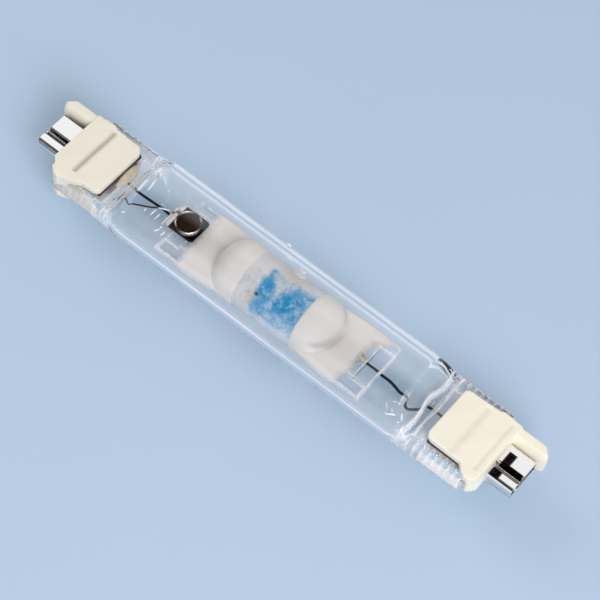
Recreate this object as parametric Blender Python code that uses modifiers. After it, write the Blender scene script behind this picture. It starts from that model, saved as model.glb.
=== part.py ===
"""Double-ended metal halide lamp: a quartz burner sealed inside a clear quartz tube.

Metres, +Z up. The lamp lies along X with its pinch seals flat in the XY plane, and the origin
is on the tube's axis, halfway between the two contacts. The locating fingers of both ceramic
caps are on the +Y side. The getter faces +Z.
"""
import math

import bmesh
import bpy
import numpy as np
from mathutils import Matrix, Vector

MM = 0.001

# Clearance between two pieces that touch or nearly touch on the real lamp
GAP = 0.3 * MM

# Outer envelope: a quartz tube pinched flat at both ends
TUBE_DIAMETER = 25.4 * MM
TUBE_WALL = 1.6 * MM
CHAMBER_HALF = 48.0 * MM
SHOULDER_LENGTH = 7.5 * MM
SHOULDER_OVERLAP = 3.5 * MM
PRESS_LENGTH = 16.7 * MM
PRESS_SPREAD = 0.25 * MM
PRESS_WEB = 3.0 * MM
PRESS_RAIL = 5.2 * MM
RAIL_WIDTH = 3.2 * MM
RAIL_SLOPE = 1.6 * MM
RIB_PITCH = 2.0 * MM
RIB_HEIGHT = 0.35 * MM
CHAMBER_CORNER = 4.0 * MM
EXHAUST_NUB_X = -6.0 * MM
EXHAUST_NUB_RADIUS = 2.0 * MM
EXHAUST_NUB_ANGLE = math.radians(32)

# Arc tube: the quartz burner in the middle
BULB_CLEARANCE = 2.4 * MM
BULB_WALL = 1.3 * MM
BULB_STRAIGHT_HALF = 12.0 * MM
DOME_LENGTH = 8.5 * MM
PINCH_LENGTH = 13.4 * MM
PINCH_CLEARANCE = 1.65 * MM
PINCH_THICKNESS = 3.2 * MM
PINCH_EDGE_RADIUS = 1.4 * MM
RECESS_LENGTH = 5.0 * MM
RECESS_WIDTH = 11.6 * MM
RECESS_DEPTH = 0.5 * MM
ARC_TIP_X = 1.8 * MM
ARC_TIP_HEIGHT = 1.6 * MM
ARC_TIP_BASE = 2.3 * MM
ARC_TIP_TOP = 1.2 * MM
ARC_TIP_ANGLE = math.radians(40)

# White heat-reflecting coats on the arc tube's ends
COAT_START = 9.5 * MM
COAT_PINCH_COVER = 6.4 * MM
COAT_THICKNESS = 0.3 * MM

# Electrodes, foils and leads
ELECTRODE_DIAMETER = 0.9 * MM
ELECTRODE_TIP_X = 11.5 * MM
BURNER_FOIL_SETBACK = 1.6 * MM
COIL_WIRE = 0.5 * MM
COIL_PITCH = 0.8 * MM
COIL_TURNS = 3
COIL_SETBACK = 1.0 * MM
COIL_CLEARANCE = 0.15 * MM
FOIL_THICKNESS = 0.15 * MM
BURNER_FOIL_LENGTH = 5.8 * MM
BURNER_FOIL_WIDTH = 3.4 * MM
LEAD_DIAMETER = 0.9 * MM
SEAL_LEAD_LENGTH = 6.7 * MM
SEAL_LEAD_Y = 0.5 * MM
LEFT_LEAD_BEND = 0.8 * MM
RIGHT_LEAD_BEND = -3.3 * MM
PRESS_FOIL_LENGTH = 8.6 * MM
PRESS_FOIL_WIDTH = 5.0 * MM
CONTACT_LEAD_DIAMETER = 1.0 * MM
SUPPORT_WIRE_DIAMETER = 0.5 * MM
SUPPORT_WIRE_SEAT = 4.0 * MM
SUPPORT_WIRE_Y = -4.8 * MM

# Getter on the front of the left pinch
GETTER_SETBACK = 2.8 * MM
GETTER_LENGTH = 9.1 * MM
GETTER_WIDTH = 8.2 * MM
GETTER_SHEET = 0.4 * MM
GETTER_TAB = 1.7 * MM
CUP_DIAMETER = 7.4 * MM
CUP_HEIGHT = 1.6 * MM
CUP_WALL = 0.5 * MM
FILL_DEPTH = 0.5 * MM

# Ceramic caps and the cement that holds them on the press
JAW_STANDOFF = 2.7 * MM
JAW_WIDTH = 18.6 * MM
JAW_THICKNESS = 9.6 * MM
JAW_CORNER = 1.3 * MM
FLANGE_WIDTH = 20.3 * MM
FLANGE_THICKNESS = 10.0 * MM
FLANGE_LENGTH = 4.9 * MM
FLANGE_SETBACK = 4.4 * MM
NECK_WALL = 1.7 * MM
NECK_THICKNESS = 8.3 * MM
NECK_CHAMFER = 2.1 * MM
FINGER_LENGTH = 10.0 * MM
FINGER_INNER_Y = 6.2 * MM
FINGER_OUTER_Y = 9.8 * MM
FINGER_CHAMFER = 2.1 * MM
CAP_EDGE = 0.35 * MM
GROOVE_WIDTH = 1.4 * MM
GROOVE_DEPTH = 0.35 * MM
GROOVE_LENGTH = 15.8 * MM
CEMENT_LAYER = 0.8 * MM
CEMENT_END = 0.5 * MM
CEMENT_BEAD_CLEARANCE = 0.4 * MM

# Nickel contacts
CONTACT_LENGTH = 8.2 * MM
CONTACT_WIDTH = 10.9 * MM
CONTACT_THICKNESS = 3.8 * MM
CONTACT_SHEET = 0.4 * MM
CONTACT_BEND = 0.5 * MM
TAIL_WIDTH = 8.0 * MM
TAIL_OVERLAP = 2.5 * MM
SEAM_Y = -1.6 * MM
SEAM_WIDTH = 2.4 * MM
SEAM_DEPTH = 1.1 * MM

# Halide dose on the burner's inner wall
DOSE_X = -8.0 * MM
DOSE_SIZE = (2.6 * MM, 1.7 * MM, 0.5 * MM)
DOSE_ANGLE = math.radians(-98)

# Places worked out from the sizes above
TUBE_RADIUS = TUBE_DIAMETER / 2
BORE_RADIUS = TUBE_RADIUS - TUBE_WALL
PRESS_START = CHAMBER_HALF + SHOULDER_OVERLAP
SHOULDER_START = PRESS_START - SHOULDER_LENGTH
PRESS_END = PRESS_START + PRESS_LENGTH
PRESS_HALF_WIDTH = TUBE_RADIUS + PRESS_SPREAD
BULB_RADIUS = BORE_RADIUS - BULB_CLEARANCE
PINCH_HALF_WIDTH = BORE_RADIUS - PINCH_CLEARANCE
BULB_BORE = BULB_RADIUS - BULB_WALL
PINCH_START = BULB_STRAIGHT_HALF + DOME_LENGTH
PINCH_END = PINCH_START + PINCH_LENGTH
COAT_END = PINCH_START + COAT_PINCH_COVER
BURNER_FOIL_START = PINCH_START + BURNER_FOIL_SETBACK
ELECTRODE_END = BURNER_FOIL_START - GAP
BURNER_FOIL_END = BURNER_FOIL_START + BURNER_FOIL_LENGTH
BURNER_LEAD_START = BURNER_FOIL_END + GAP
SEAL_LEAD_END = CHAMBER_HALF + SEAL_LEAD_LENGTH
PRESS_FOIL_START = SEAL_LEAD_END + GAP
PRESS_FOIL_END = PRESS_FOIL_START + PRESS_FOIL_LENGTH
CONTACT_LEAD_START = PRESS_FOIL_END + GAP
CEMENT_INNER_END = PRESS_END + GAP
CEMENT_OUTER_END = CEMENT_INNER_END + CEMENT_END
SLOT_END = CEMENT_OUTER_END + GAP
NECK_END = SLOT_END + NECK_WALL
TIP_END = NECK_END + FINGER_LENGTH
CONTACT_START = NECK_END + GAP
CONTACT_END = NECK_END + CONTACT_LENGTH
JAW_START = PRESS_START + JAW_STANDOFF
FLANGE_START = PRESS_END - FLANGE_SETBACK
FLANGE_END = FLANGE_START + FLANGE_LENGTH
CEMENT_HALF = PRESS_WEB / 2 + GAP + CEMENT_LAYER
CEMENT_HALF_WIDTH = PRESS_HALF_WIDTH - RAIL_WIDTH - RAIL_SLOPE / 2 - GAP
SLOT_HALF = max(CEMENT_HALF, PRESS_RAIL / 2) + GAP
PINCH_TOP = PINCH_THICKNESS / 2
PLATE_BOTTOM = PINCH_TOP + 2 * GAP + COAT_THICKNESS + GAP
PLATE_TOP = PLATE_BOTTOM + GETTER_SHEET
GETTER_X = -(PINCH_END - GETTER_SETBACK)

SMOOTH_ANGLE = math.radians(35)
OVERSHOOT = 2.0 * MM
SIDES = ((-1, "left"), (1, "right"))


def clear_scene():
    for obj in list(bpy.data.objects):
        bpy.data.objects.remove(obj, do_unlink=True)


def new_collection(name):
    collection = bpy.data.collections.new(name)
    bpy.context.scene.collection.children.link(collection)
    return collection


def new_material(name, colour, roughness, metallic=0.0, transmission=0.0):
    material = bpy.data.materials.new(name)
    material.use_nodes = True
    shader = material.node_tree.nodes["Principled BSDF"]
    shader.inputs["Base Color"].default_value = (*colour, 1.0)
    shader.inputs["Roughness"].default_value = roughness
    shader.inputs["Metallic"].default_value = metallic
    shader.inputs["Transmission Weight"].default_value = transmission
    material.diffuse_color = (*colour, 1.0)
    return material


clear_scene()
LAMP = new_collection("metal_halide_lamp")
CUTTERS = new_collection("cutters")

QUARTZ = new_material("clear_quartz", (0.86, 0.90, 0.92), 0.03, transmission=1.0)
COAT = new_material("zirconia_coat", (0.70, 0.67, 0.65), 0.8)
TUNGSTEN = new_material("tungsten", (0.30, 0.29, 0.28), 0.4, metallic=1.0)
MOLYBDENUM = new_material("molybdenum", (0.33, 0.32, 0.31), 0.35, metallic=1.0)
NICKEL = new_material("nickel", (0.72, 0.70, 0.68), 0.22, metallic=1.0)
GETTER_STEEL = new_material("getter_steel", (0.20, 0.18, 0.17), 0.4, metallic=1.0)
GETTER_POWDER = new_material("getter_powder", (0.06, 0.045, 0.04), 0.9)
STEATITE = new_material("steatite", (0.86, 0.81, 0.70), 0.5)
CEMENT = new_material("cement", (0.62, 0.53, 0.42), 0.9)
HALIDE = new_material("halide_salt", (0.52, 0.36, 0.12), 0.6)


def finish(obj, material):
    """Give a piece its material and smooth shading that stops at hard edges."""
    obj.data.materials.clear()
    obj.data.materials.append(material)
    obj.data.shade_smooth()
    obj.data.set_sharp_from_angle(angle=SMOOTH_ANGLE)
    return obj


def object_from_bmesh(name, bm, collection):
    bmesh.ops.recalc_face_normals(bm, faces=bm.faces)
    mesh = bpy.data.meshes.new(name)
    bm.to_mesh(mesh)
    bm.free()
    obj = bpy.data.objects.new(name, mesh)
    collection.objects.link(obj)
    if collection is CUTTERS:
        obj.hide_render = True
        obj.display_type = "WIRE"
    return obj


def box(name, low, high, collection, bevel=0.0):
    """A block between two corners, with its edges rounded by bevel."""
    low, high = Vector(low), Vector(high)
    bm = bmesh.new()
    bmesh.ops.create_cube(bm, size=1.0)
    bmesh.ops.scale(bm, vec=high - low, verts=bm.verts)
    bmesh.ops.translate(bm, vec=(low + high) / 2, verts=bm.verts)
    obj = object_from_bmesh(name, bm, collection)
    if bevel:
        add_bevel(obj, bevel)
    return obj


def side_box(name, side, x_range, half_y, half_z, collection, bevel=0.0):
    """A block on one side of the lamp, centred on the X axis."""
    low_x, high_x = sorted((side * x_range[0], side * x_range[1]))
    return box(name, (low_x, -half_y, -half_z), (high_x, half_y, half_z), collection, bevel)


def x_rod(name, x_range, radius, y, z, collection, segments=16):
    """A round rod along X."""
    low_x, high_x = sorted(x_range)
    bm = bmesh.new()
    place = Matrix.Translation(((low_x + high_x) / 2, y, z)) @ Matrix.Rotation(math.pi / 2, 4, "Y")
    bmesh.ops.create_cone(bm, cap_ends=True, segments=segments, radius1=radius, radius2=radius,
                          depth=high_x - low_x, matrix=place)
    return object_from_bmesh(name, bm, collection)


def add_bevel(obj, width, segments=2):
    bevel = obj.modifiers.new("bevel", "BEVEL")
    bevel.width = width
    bevel.segments = segments
    bevel.limit_method = "ANGLE"
    bevel.angle_limit = math.radians(30)


def boolean(obj, other, operation):
    """EXACT Boolean of obj with a cutter, which stays in the cutters' collection."""
    modifier = obj.modifiers.new(operation.lower(), "BOOLEAN")
    modifier.operation = operation
    modifier.solver = "EXACT"
    modifier.object = other


def loft(name, rings, collection):
    """Closed body through rings of equal point count, with a flat cap on each end."""
    count = len(rings[0])
    bm = bmesh.new()
    rows = [[bm.verts.new(point) for point in ring] for ring in rings]
    for first, second in zip(rows, rows[1:]):
        for i in range(count):
            j = (i + 1) % count
            bm.faces.new((first[i], first[j], second[j], second[i]))
    bm.faces.new(rows[0])
    bm.faces.new(rows[-1])
    return object_from_bmesh(name, bm, collection)


def sleeve(name, inner_rings, outer_rings, collection):
    """Open-ended tube wall between an inner and an outer row of rings."""
    count = len(inner_rings[0])
    bm = bmesh.new()
    loop = list(inner_rings) + list(reversed(outer_rings))
    rows = [[bm.verts.new(point) for point in ring] for ring in loop]
    for first, second in zip(rows, rows[1:] + rows[:1]):
        for i in range(count):
            j = (i + 1) % count
            bm.faces.new((first[i], first[j], second[j], second[i]))
    return object_from_bmesh(name, bm, collection)


def curve_to_mesh(curve, name, collection):
    """Turn a curve object into a closed mesh object, with its loose caps welded."""
    bpy.context.view_layer.update()
    evaluated = curve.evaluated_get(bpy.context.evaluated_depsgraph_get())
    mesh = bpy.data.meshes.new_from_object(evaluated)
    bm = bmesh.new()
    bm.from_mesh(mesh)
    bmesh.ops.remove_doubles(bm, verts=bm.verts, dist=1e-6)
    obj = object_from_bmesh(name, bm, collection)
    obj.matrix_world = curve.matrix_world
    bpy.data.meshes.remove(mesh)
    bpy.data.objects.remove(curve, do_unlink=True)
    return obj


def outline_plate(name, points, low_z, high_z, collection, bevel=0.0):
    """A flat outline in the XY plane, filled and extruded from low_z to high_z."""
    data = bpy.data.curves.new(name + "_outline", "CURVE")
    data.dimensions = "2D"
    data.fill_mode = "BOTH"
    data.extrude = (high_z - low_z) / 2
    spline = data.splines.new("POLY")
    spline.points.add(len(points) - 1)
    for spline_point, (x, y) in zip(spline.points, points):
        spline_point.co = (x, y, 0.0, 1.0)
    spline.use_cyclic_u = True
    curve = bpy.data.objects.new(name + "_outline", data)
    curve.location.z = (low_z + high_z) / 2
    bpy.context.scene.collection.objects.link(curve)
    obj = curve_to_mesh(curve, name, collection)
    if bevel:
        add_bevel(obj, bevel)
    return obj


def wire(name, points, diameter, material):
    """A round wire along a list of points, as a bevelled curve with filled ends."""
    data = bpy.data.curves.new(name, "CURVE")
    data.dimensions = "3D"
    data.bevel_depth = diameter / 2
    data.bevel_resolution = 2
    data.use_fill_caps = True
    spline = data.splines.new("POLY")
    spline.points.add(len(points) - 1)
    for spline_point, point in zip(spline.points, points):
        spline_point.co = (*point, 1.0)
    curve = bpy.data.objects.new(name + "_path", data)
    bpy.context.scene.collection.objects.link(curve)
    return finish(curve_to_mesh(curve, name, LAMP), material)


def smooth_path(points, steps=4):
    """Catmull-Rom curve through the points, sampled steps times on each span."""
    padded = [points[0]] + list(points) + [points[-1]]
    padded = [Vector(point) for point in padded]
    path = []
    for before, start, end, after in zip(padded, padded[1:], padded[2:], padded[3:]):
        for i in range(steps):
            t = i / steps
            path.append(0.5 * (2 * start + (end - before) * t
                               + (2 * before - 5 * start + 4 * end - after) * t ** 2
                               + (3 * start - before - 3 * end + after) * t ** 3))
    path.append(padded[-1])
    return path


def smoothstep(value, low, high):
    """0 below low, 1 above high, an S-curve between."""
    t = np.clip((value - low) / (high - low), 0.0, 1.0)
    return t * t * (3 - 2 * t)


def edge_fall(distance, radius):
    """Height of a quarter circle: 1 until the edge zone starts, 0 at its end."""
    return np.sqrt(np.clip(1 - (np.clip(distance, 0, radius) / radius) ** 2, 0, 1))


def pinched_ring(x, radius, half_width, half_thickness, flatness, count):
    """Cross-section at x between a circle (flatness 0) and a pressed flat (flatness 1).

    Point t of the circle goes to y = half_width * cos(t), so both forms share their points.
    half_thickness is a function of y.
    """
    t = np.linspace(0, 2 * math.pi, count, endpoint=False)
    flat_y = half_width * np.cos(t)
    flat_z = half_thickness(np.abs(flat_y)) * np.sign(np.round(np.sin(t), 6))
    y = (1 - flatness) * radius * np.cos(t) + flatness * flat_y
    z = (1 - flatness) * radius * np.sin(t) + flatness * flat_z
    return [(x, float(b), float(c)) for b, c in zip(y, z)]


def both_sides(stations):
    """Mirror a rising list of distances from the middle into a rising list of X values."""
    return [-value for value in reversed(stations)] + list(stations)


# Outer envelope

def press_half_thickness(y, distance):
    """Half the press's thickness: thin web, ribbed slope, thick round-edged rail."""
    rail_start = PRESS_HALF_WIDTH - RAIL_WIDTH + RAIL_SLOPE / 2
    rail = smoothstep(y, rail_start - RAIL_SLOPE, rail_start)
    rib_phase = (distance - PRESS_START) / RIB_PITCH
    on_slope = (y > rail_start - RAIL_SLOPE) & (y < rail_start + RAIL_SLOPE / 2)
    rib = RIB_HEIGHT * on_slope * (math.cos(2 * math.pi * rib_phase) - 1) / 2
    half = PRESS_WEB / 2 + (PRESS_RAIL - PRESS_WEB) / 2 * rail + rib
    return half * edge_fall(y - (PRESS_HALF_WIDTH - RAIL_WIDTH / 2), RAIL_WIDTH / 2)


def envelope_ring(x, count=40):
    distance = abs(x)
    flatness = float(smoothstep(distance, SHOULDER_START, PRESS_START))
    corner = RAIL_WIDTH / 2
    rounding = 1 - float(edge_fall(distance - PRESS_END + corner, corner))
    half_width = PRESS_HALF_WIDTH - corner * rounding

    def half_thickness(y):
        return press_half_thickness(y * PRESS_HALF_WIDTH / half_width, distance)

    return pinched_ring(x, TUBE_RADIUS, half_width, half_thickness, flatness, count)


def chamber_ring(x, count=20):
    """Inside of the tube: round in the middle, narrowing in height to its blunt ends."""
    distance = abs(x)
    flatness = float(smoothstep(distance, SHOULDER_START, PRESS_START))
    crown = (1 - flatness) * TUBE_RADIUS + flatness * PRESS_WEB / 2
    half_y = BORE_RADIUS - CHAMBER_CORNER * (1 - float(edge_fall(
        distance - CHAMBER_HALF + CHAMBER_CORNER, CHAMBER_CORNER)))
    half_z = (crown - TUBE_WALL) * max(float(edge_fall(
        distance - CHAMBER_HALF + CHAMBER_CORNER, CHAMBER_CORNER)), 0.2)
    t = np.linspace(0, 2 * math.pi, count, endpoint=False)
    return [(x, half_y * math.cos(angle), half_z * math.sin(angle)) for angle in t]


def lead_channel(name, side, inner_x, foil_start, foil_end, outer_x, foil_width,
                 lead_diameters, lead_y):
    """Pocket through a pinch for a lead, its foil and the lead beyond it."""
    inner = x_rod(name + "_inner", (side * inner_x, side * foil_start),
                  lead_diameters[0] / 2 + GAP, lead_y, 0, CUTTERS)
    foil = side_box(name + "_foil", side, (foil_start - GAP, foil_end + GAP),
                    foil_width / 2 + GAP, FOIL_THICKNESS / 2 + GAP, CUTTERS)
    outer = x_rod(name + "_outer", (side * foil_end, side * outer_x),
                  lead_diameters[1] / 2 + GAP, 0, 0, CUTTERS)
    return inner, foil, outer


def make_outer_envelope():
    shoulder = [SHOULDER_START + SHOULDER_LENGTH * i / 6 for i in range(7)]
    rib_count = int((PRESS_LENGTH - RAIL_WIDTH) / (RIB_PITCH / 2))
    ribs = [PRESS_START + RIB_PITCH / 2 * (i + 1) for i in range(rib_count)]
    corner = [PRESS_END - RAIL_WIDTH / 2 * f for f in (1.0, 0.5, 0.2, 0.0)]
    stations = both_sides(shoulder + ribs + corner)
    body = loft("outer_envelope", [envelope_ring(x) for x in stations], LAMP)

    bm = bmesh.new()
    up = Vector((0, math.cos(EXHAUST_NUB_ANGLE), math.sin(EXHAUST_NUB_ANGLE)))
    centre = Vector((EXHAUST_NUB_X, 0, 0)) + up * (TUBE_RADIUS - 0.5 * EXHAUST_NUB_RADIUS)
    bmesh.ops.create_uvsphere(bm, u_segments=12, v_segments=8, radius=EXHAUST_NUB_RADIUS,
                              matrix=Matrix.Translation(centre))
    boolean(body, object_from_bmesh("envelope_exhaust_nub", bm, CUTTERS), "UNION")

    ends = [CHAMBER_HALF - CHAMBER_CORNER * f for f in (1.0, 0.75, 0.5, 0.3, 0.15, 0.05, 0.0)]
    stations = both_sides([SHOULDER_START] + [x for x in ends if x > SHOULDER_START + GAP])
    chamber = loft("chamber_space", [chamber_ring(x) for x in stations], CUTTERS)
    boolean(body, chamber, "DIFFERENCE")
    for side, label in SIDES:
        channel = lead_channel("press_channel_" + label, side, CHAMBER_HALF - OVERSHOOT,
                               PRESS_FOIL_START, PRESS_FOIL_END, PRESS_END + OVERSHOOT,
                               PRESS_FOIL_WIDTH, (LEAD_DIAMETER, CONTACT_LEAD_DIAMETER), SEAL_LEAD_Y)
        for cutter in channel:
            boolean(body, cutter, "DIFFERENCE")
    seat = x_rod("support_wire_seat", (-CHAMBER_HALF + OVERSHOOT, -CHAMBER_HALF - SUPPORT_WIRE_SEAT - GAP),
                 SUPPORT_WIRE_DIAMETER / 2 + GAP, SUPPORT_WIRE_Y, 0, CUTTERS)
    boolean(body, seat, "DIFFERENCE")
    return finish(body, QUARTZ)


# Arc tube and its coats

def burner_ring(x, fraction, grow, count=32):
    """Arc tube cross-section; fraction runs 0 to 1 over the dome, grow offsets the surface."""
    crown = math.sqrt(max(1 - fraction ** 2, 0))
    flatness = 1 - crown
    half_width = PINCH_HALF_WIDTH + grow

    def half_thickness(y):
        half = PINCH_TOP + grow
        recessed = (abs(x) > PINCH_END - RECESS_LENGTH) & (y < RECESS_WIDTH / 2)
        half = half - RECESS_DEPTH * recessed
        return half * edge_fall(y - (half_width - PINCH_EDGE_RADIUS), PINCH_EDGE_RADIUS)

    return pinched_ring(x, BULB_RADIUS + grow, half_width, half_thickness, flatness, count)


DOME_FRACTIONS = (0.0, 0.3, 0.55, 0.75, 0.9, 0.98, 1.0)


def dome_stations(grow):
    """Distance from the middle and dome fraction for each ring from the bulb to the pinch."""
    return [(BULB_STRAIGHT_HALF + (DOME_LENGTH + grow) * f, f) for f in DOME_FRACTIONS]


def make_arc_tube():
    half = dome_stations(0.0)
    recess_start = PINCH_END - RECESS_LENGTH
    half += [(recess_start - GAP / 2, 1.0), (recess_start + GAP / 2, 1.0), (PINCH_END, 1.0)]
    stations = [(-x, f) for x, f in reversed(half)] + half
    body = loft("arc_tube", [burner_ring(x, f, 0.0) for x, f in stations], LAMP)

    up = Vector((0, math.cos(ARC_TIP_ANGLE), math.sin(ARC_TIP_ANGLE)))
    depth = ARC_TIP_HEIGHT + BULB_WALL
    centre = Vector((ARC_TIP_X, 0, 0)) + up * (BULB_RADIUS + ARC_TIP_HEIGHT - depth / 2)
    place = Matrix.Translation(centre) @ up.to_track_quat("Z", "Y").to_matrix().to_4x4()
    bm = bmesh.new()
    bmesh.ops.create_cone(bm, cap_ends=True, segments=14, radius1=ARC_TIP_BASE,
                          radius2=ARC_TIP_TOP, depth=depth, matrix=place)
    tip = object_from_bmesh("arc_tube_exhaust_tip", bm, CUTTERS)
    add_bevel(tip, ARC_TIP_TOP * 0.4)
    boolean(body, tip, "UNION")

    start = BULB_STRAIGHT_HALF - BULB_WALL
    reach = DOME_LENGTH
    half = [(start + reach * f, f) for f in (0.0, 0.35, 0.6, 0.8, 0.92, 0.98)]
    rings = []
    for x, fraction in [(-x, f) for x, f in reversed(half)] + half:
        crown = BULB_BORE * math.sqrt(1 - fraction ** 2)
        half_y = BULB_BORE * (1 - fraction ** 4) ** 0.5
        t = np.linspace(0, 2 * math.pi, 24, endpoint=False)
        rings.append([(x, half_y * math.cos(angle), crown * math.sin(angle)) for angle in t])
    boolean(body, loft("arc_space", rings, CUTTERS), "DIFFERENCE")
    for side, label in SIDES:
        channel = lead_channel("pinch_channel_" + label, side, start + 0.9 * reach,
                               BURNER_FOIL_START, BURNER_FOIL_END, PINCH_END + OVERSHOOT,
                               BURNER_FOIL_WIDTH, (ELECTRODE_DIAMETER, LEAD_DIAMETER), 0.0)
        for cutter in channel:
            boolean(body, cutter, "DIFFERENCE")
    return finish(body, QUARTZ)


def make_reflector_coats():
    for side, label in SIDES:
        layers = []
        for grow in (GAP, GAP + COAT_THICKNESS):
            stations = [(COAT_START, 0.0)] + dome_stations(grow) + [(COAT_END, 1.0)]
            layers.append([burner_ring(side * x, f, grow) for x, f in stations])
        finish(sleeve("reflector_coat_" + label, layers[0], layers[1], LAMP), COAT)


# Electrodes, foils and leads

def make_burner_inner_parts():
    tip, end = ELECTRODE_TIP_X, ELECTRODE_END
    radius = ELECTRODE_DIAMETER / 2
    helix = radius + COIL_CLEARANCE + COIL_WIRE / 2
    per_turn = 10
    for side, label in SIDES:
        rod = x_rod("electrode_" + label, (side * tip, side * end), radius, 0, 0, LAMP, segments=12)
        finish(rod, TUNGSTEN)
        points = []
        for i in range(COIL_TURNS * per_turn + 1):
            turn = 2 * math.pi * i / per_turn
            x = side * (tip + COIL_SETBACK + COIL_PITCH * i / per_turn)
            points.append((x, helix * math.cos(turn), helix * math.sin(turn)))
        wire("electrode_coil_" + label, points, COIL_WIRE, TUNGSTEN)
        foil = side_box("burner_foil_" + label, side, (BURNER_FOIL_START, BURNER_FOIL_END),
                        BURNER_FOIL_WIDTH / 2, FOIL_THICKNESS / 2, LAMP)
        finish(foil, MOLYBDENUM)


# Bends between pinch and press as (share of the way, share of the bend's depth)
LEFT_BENDS = ((0.0, 0.0), (0.16, 0.4), (0.38, 1.0), (0.7, 0.9))
RIGHT_BENDS = ((0.0, 0.0), (0.38, 0.03), (0.53, 0.2), (0.68, 0.6), (0.8, 1.0), (0.87, 0.97), (0.93, 0.55))


def make_leads():
    straight = CHAMBER_HALF - LEAD_DIAMETER
    span = straight - PINCH_END
    for (side, label), bends, depth in zip(SIDES, (LEFT_BENDS, RIGHT_BENDS),
                                           (LEFT_LEAD_BEND, RIGHT_LEAD_BEND)):
        path = [(side * BURNER_LEAD_START, 0, 0)]
        path += [(side * (PINCH_END + share * span), y_share * depth, 0) for share, y_share in bends]
        path += [(side * x, SEAL_LEAD_Y, 0) for x in (straight, CHAMBER_HALF, SEAL_LEAD_END)]
        wire("burner_lead_" + label, smooth_path(path), LEAD_DIAMETER, MOLYBDENUM)

    over_lead = LEAD_DIAMETER / 2 + GAP + SUPPORT_WIRE_DIAMETER / 2
    start = -CHAMBER_HALF + SUPPORT_WIRE_DIAMETER
    end = GETTER_X - GETTER_LENGTH / 2 - GETTER_TAB - GAP
    path = [(-CHAMBER_HALF - SUPPORT_WIRE_SEAT, SUPPORT_WIRE_Y, 0)]
    bends = ((0.0, 1.0, 0.0), (0.45, 0.3, 0.6), (0.8, -0.04, 1.0), (1.0, -0.3, 1.0))
    for share, y_share, rise in bends:
        path.append((start + share * (end - start), y_share * SUPPORT_WIRE_Y, rise * over_lead))
    wire("getter_support_wire", smooth_path(path, 3), SUPPORT_WIRE_DIAMETER, MOLYBDENUM)

    for side, label in SIDES:
        foil = side_box("press_foil_" + label, side, (PRESS_FOIL_START, PRESS_FOIL_END),
                        PRESS_FOIL_WIDTH / 2, FOIL_THICKNESS / 2, LAMP)
        finish(foil, MOLYBDENUM)
        lead = x_rod("contact_lead_" + label, (side * CONTACT_LEAD_START, side * (NECK_END + TAIL_OVERLAP)),
                     CONTACT_LEAD_DIAMETER / 2, 0, 0, LAMP, segments=12)
        finish(lead, MOLYBDENUM)


# Getter

def make_getter():
    half_y = GETTER_WIDTH / 2
    plate_end = GETTER_X + GETTER_LENGTH / 2
    fold = GETTER_X - GETTER_LENGTH / 2
    wire_top = LEAD_DIAMETER / 2 + GAP
    middle = PLATE_BOTTOM + GETTER_SHEET / 2
    tab_z = wire_top + GETTER_SHEET / 2
    profile = [(plate_end, middle), (fold, middle), (fold - 0.3 * GETTER_TAB, (middle + tab_z) / 2),
               (fold - 0.5 * GETTER_TAB, tab_z), (fold - GETTER_TAB, tab_z)]
    bm = bmesh.new()
    rows = [[bm.verts.new((x, y, z)) for y in (-half_y, half_y)] for x, z in profile]
    for first, second in zip(rows, rows[1:]):
        bm.faces.new((first[0], first[1], second[1], second[0]))
    plate = object_from_bmesh("getter_plate", bm, LAMP)
    wall = plate.modifiers.new("sheet", "SOLIDIFY")
    wall.thickness = GETTER_SHEET
    wall.offset = 0.0
    finish(plate, GETTER_STEEL)

    radius = CUP_DIAMETER / 2
    base = PLATE_TOP + GAP
    top = base + CUP_HEIGHT
    inner = radius - CUP_WALL
    cup_profile = [(0, top - CUP_HEIGHT + CUP_WALL), (inner - 0.3 * MM, base + CUP_WALL),
                   (inner, base + CUP_WALL + 0.3 * MM), (inner, top - 0.2 * MM), (inner + 0.15 * MM, top),
                   (radius - 0.15 * MM, top), (radius, top - 0.2 * MM), (radius, base + 0.3 * MM),
                   (radius - 0.3 * MM, base), (0, base)]
    turned("getter_cup", cup_profile, GETTER_X, GETTER_STEEL)
    fill_base = base + CUP_WALL + GAP
    fill_radius = inner - GAP
    turned("getter_fill", [(0, fill_base + FILL_DEPTH), (fill_radius - 0.3 * MM, fill_base + FILL_DEPTH),
                           (fill_radius, fill_base + 0.6 * FILL_DEPTH), (fill_radius - 0.3 * MM, fill_base),
                           (0, fill_base)], GETTER_X, GETTER_POWDER)


def turned(name, profile, centre_x, material, segments=24):
    """A piece turned about a vertical axis, from a profile of radius and height, top to bottom."""
    mesh = bpy.data.meshes.new(name)
    edges = [(i, i + 1) for i in range(len(profile) - 1)]
    mesh.from_pydata([(radius, 0, z) for radius, z in profile], edges, [])
    obj = bpy.data.objects.new(name, mesh)
    obj.location.x = centre_x
    LAMP.objects.link(obj)
    screw = obj.modifiers.new("turn", "SCREW")
    screw.axis = "Z"
    screw.steps = segments
    screw.render_steps = segments
    screw.use_merge_vertices = True
    screw.merge_threshold = 1e-6
    screw.use_smooth_shade = True
    obj.data.materials.append(material)
    return obj


# Ceramic caps, cement and contacts

def rounded_corner(centre, radius, start, steps=4):
    """Points of a quarter circle in the XY plane, counter-clockwise from the angle start."""
    angles = [start + math.pi / 2 * i / steps for i in range(steps + 1)]
    return [(centre[0] + radius * math.cos(a), centre[1] + radius * math.sin(a)) for a in angles]


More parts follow.
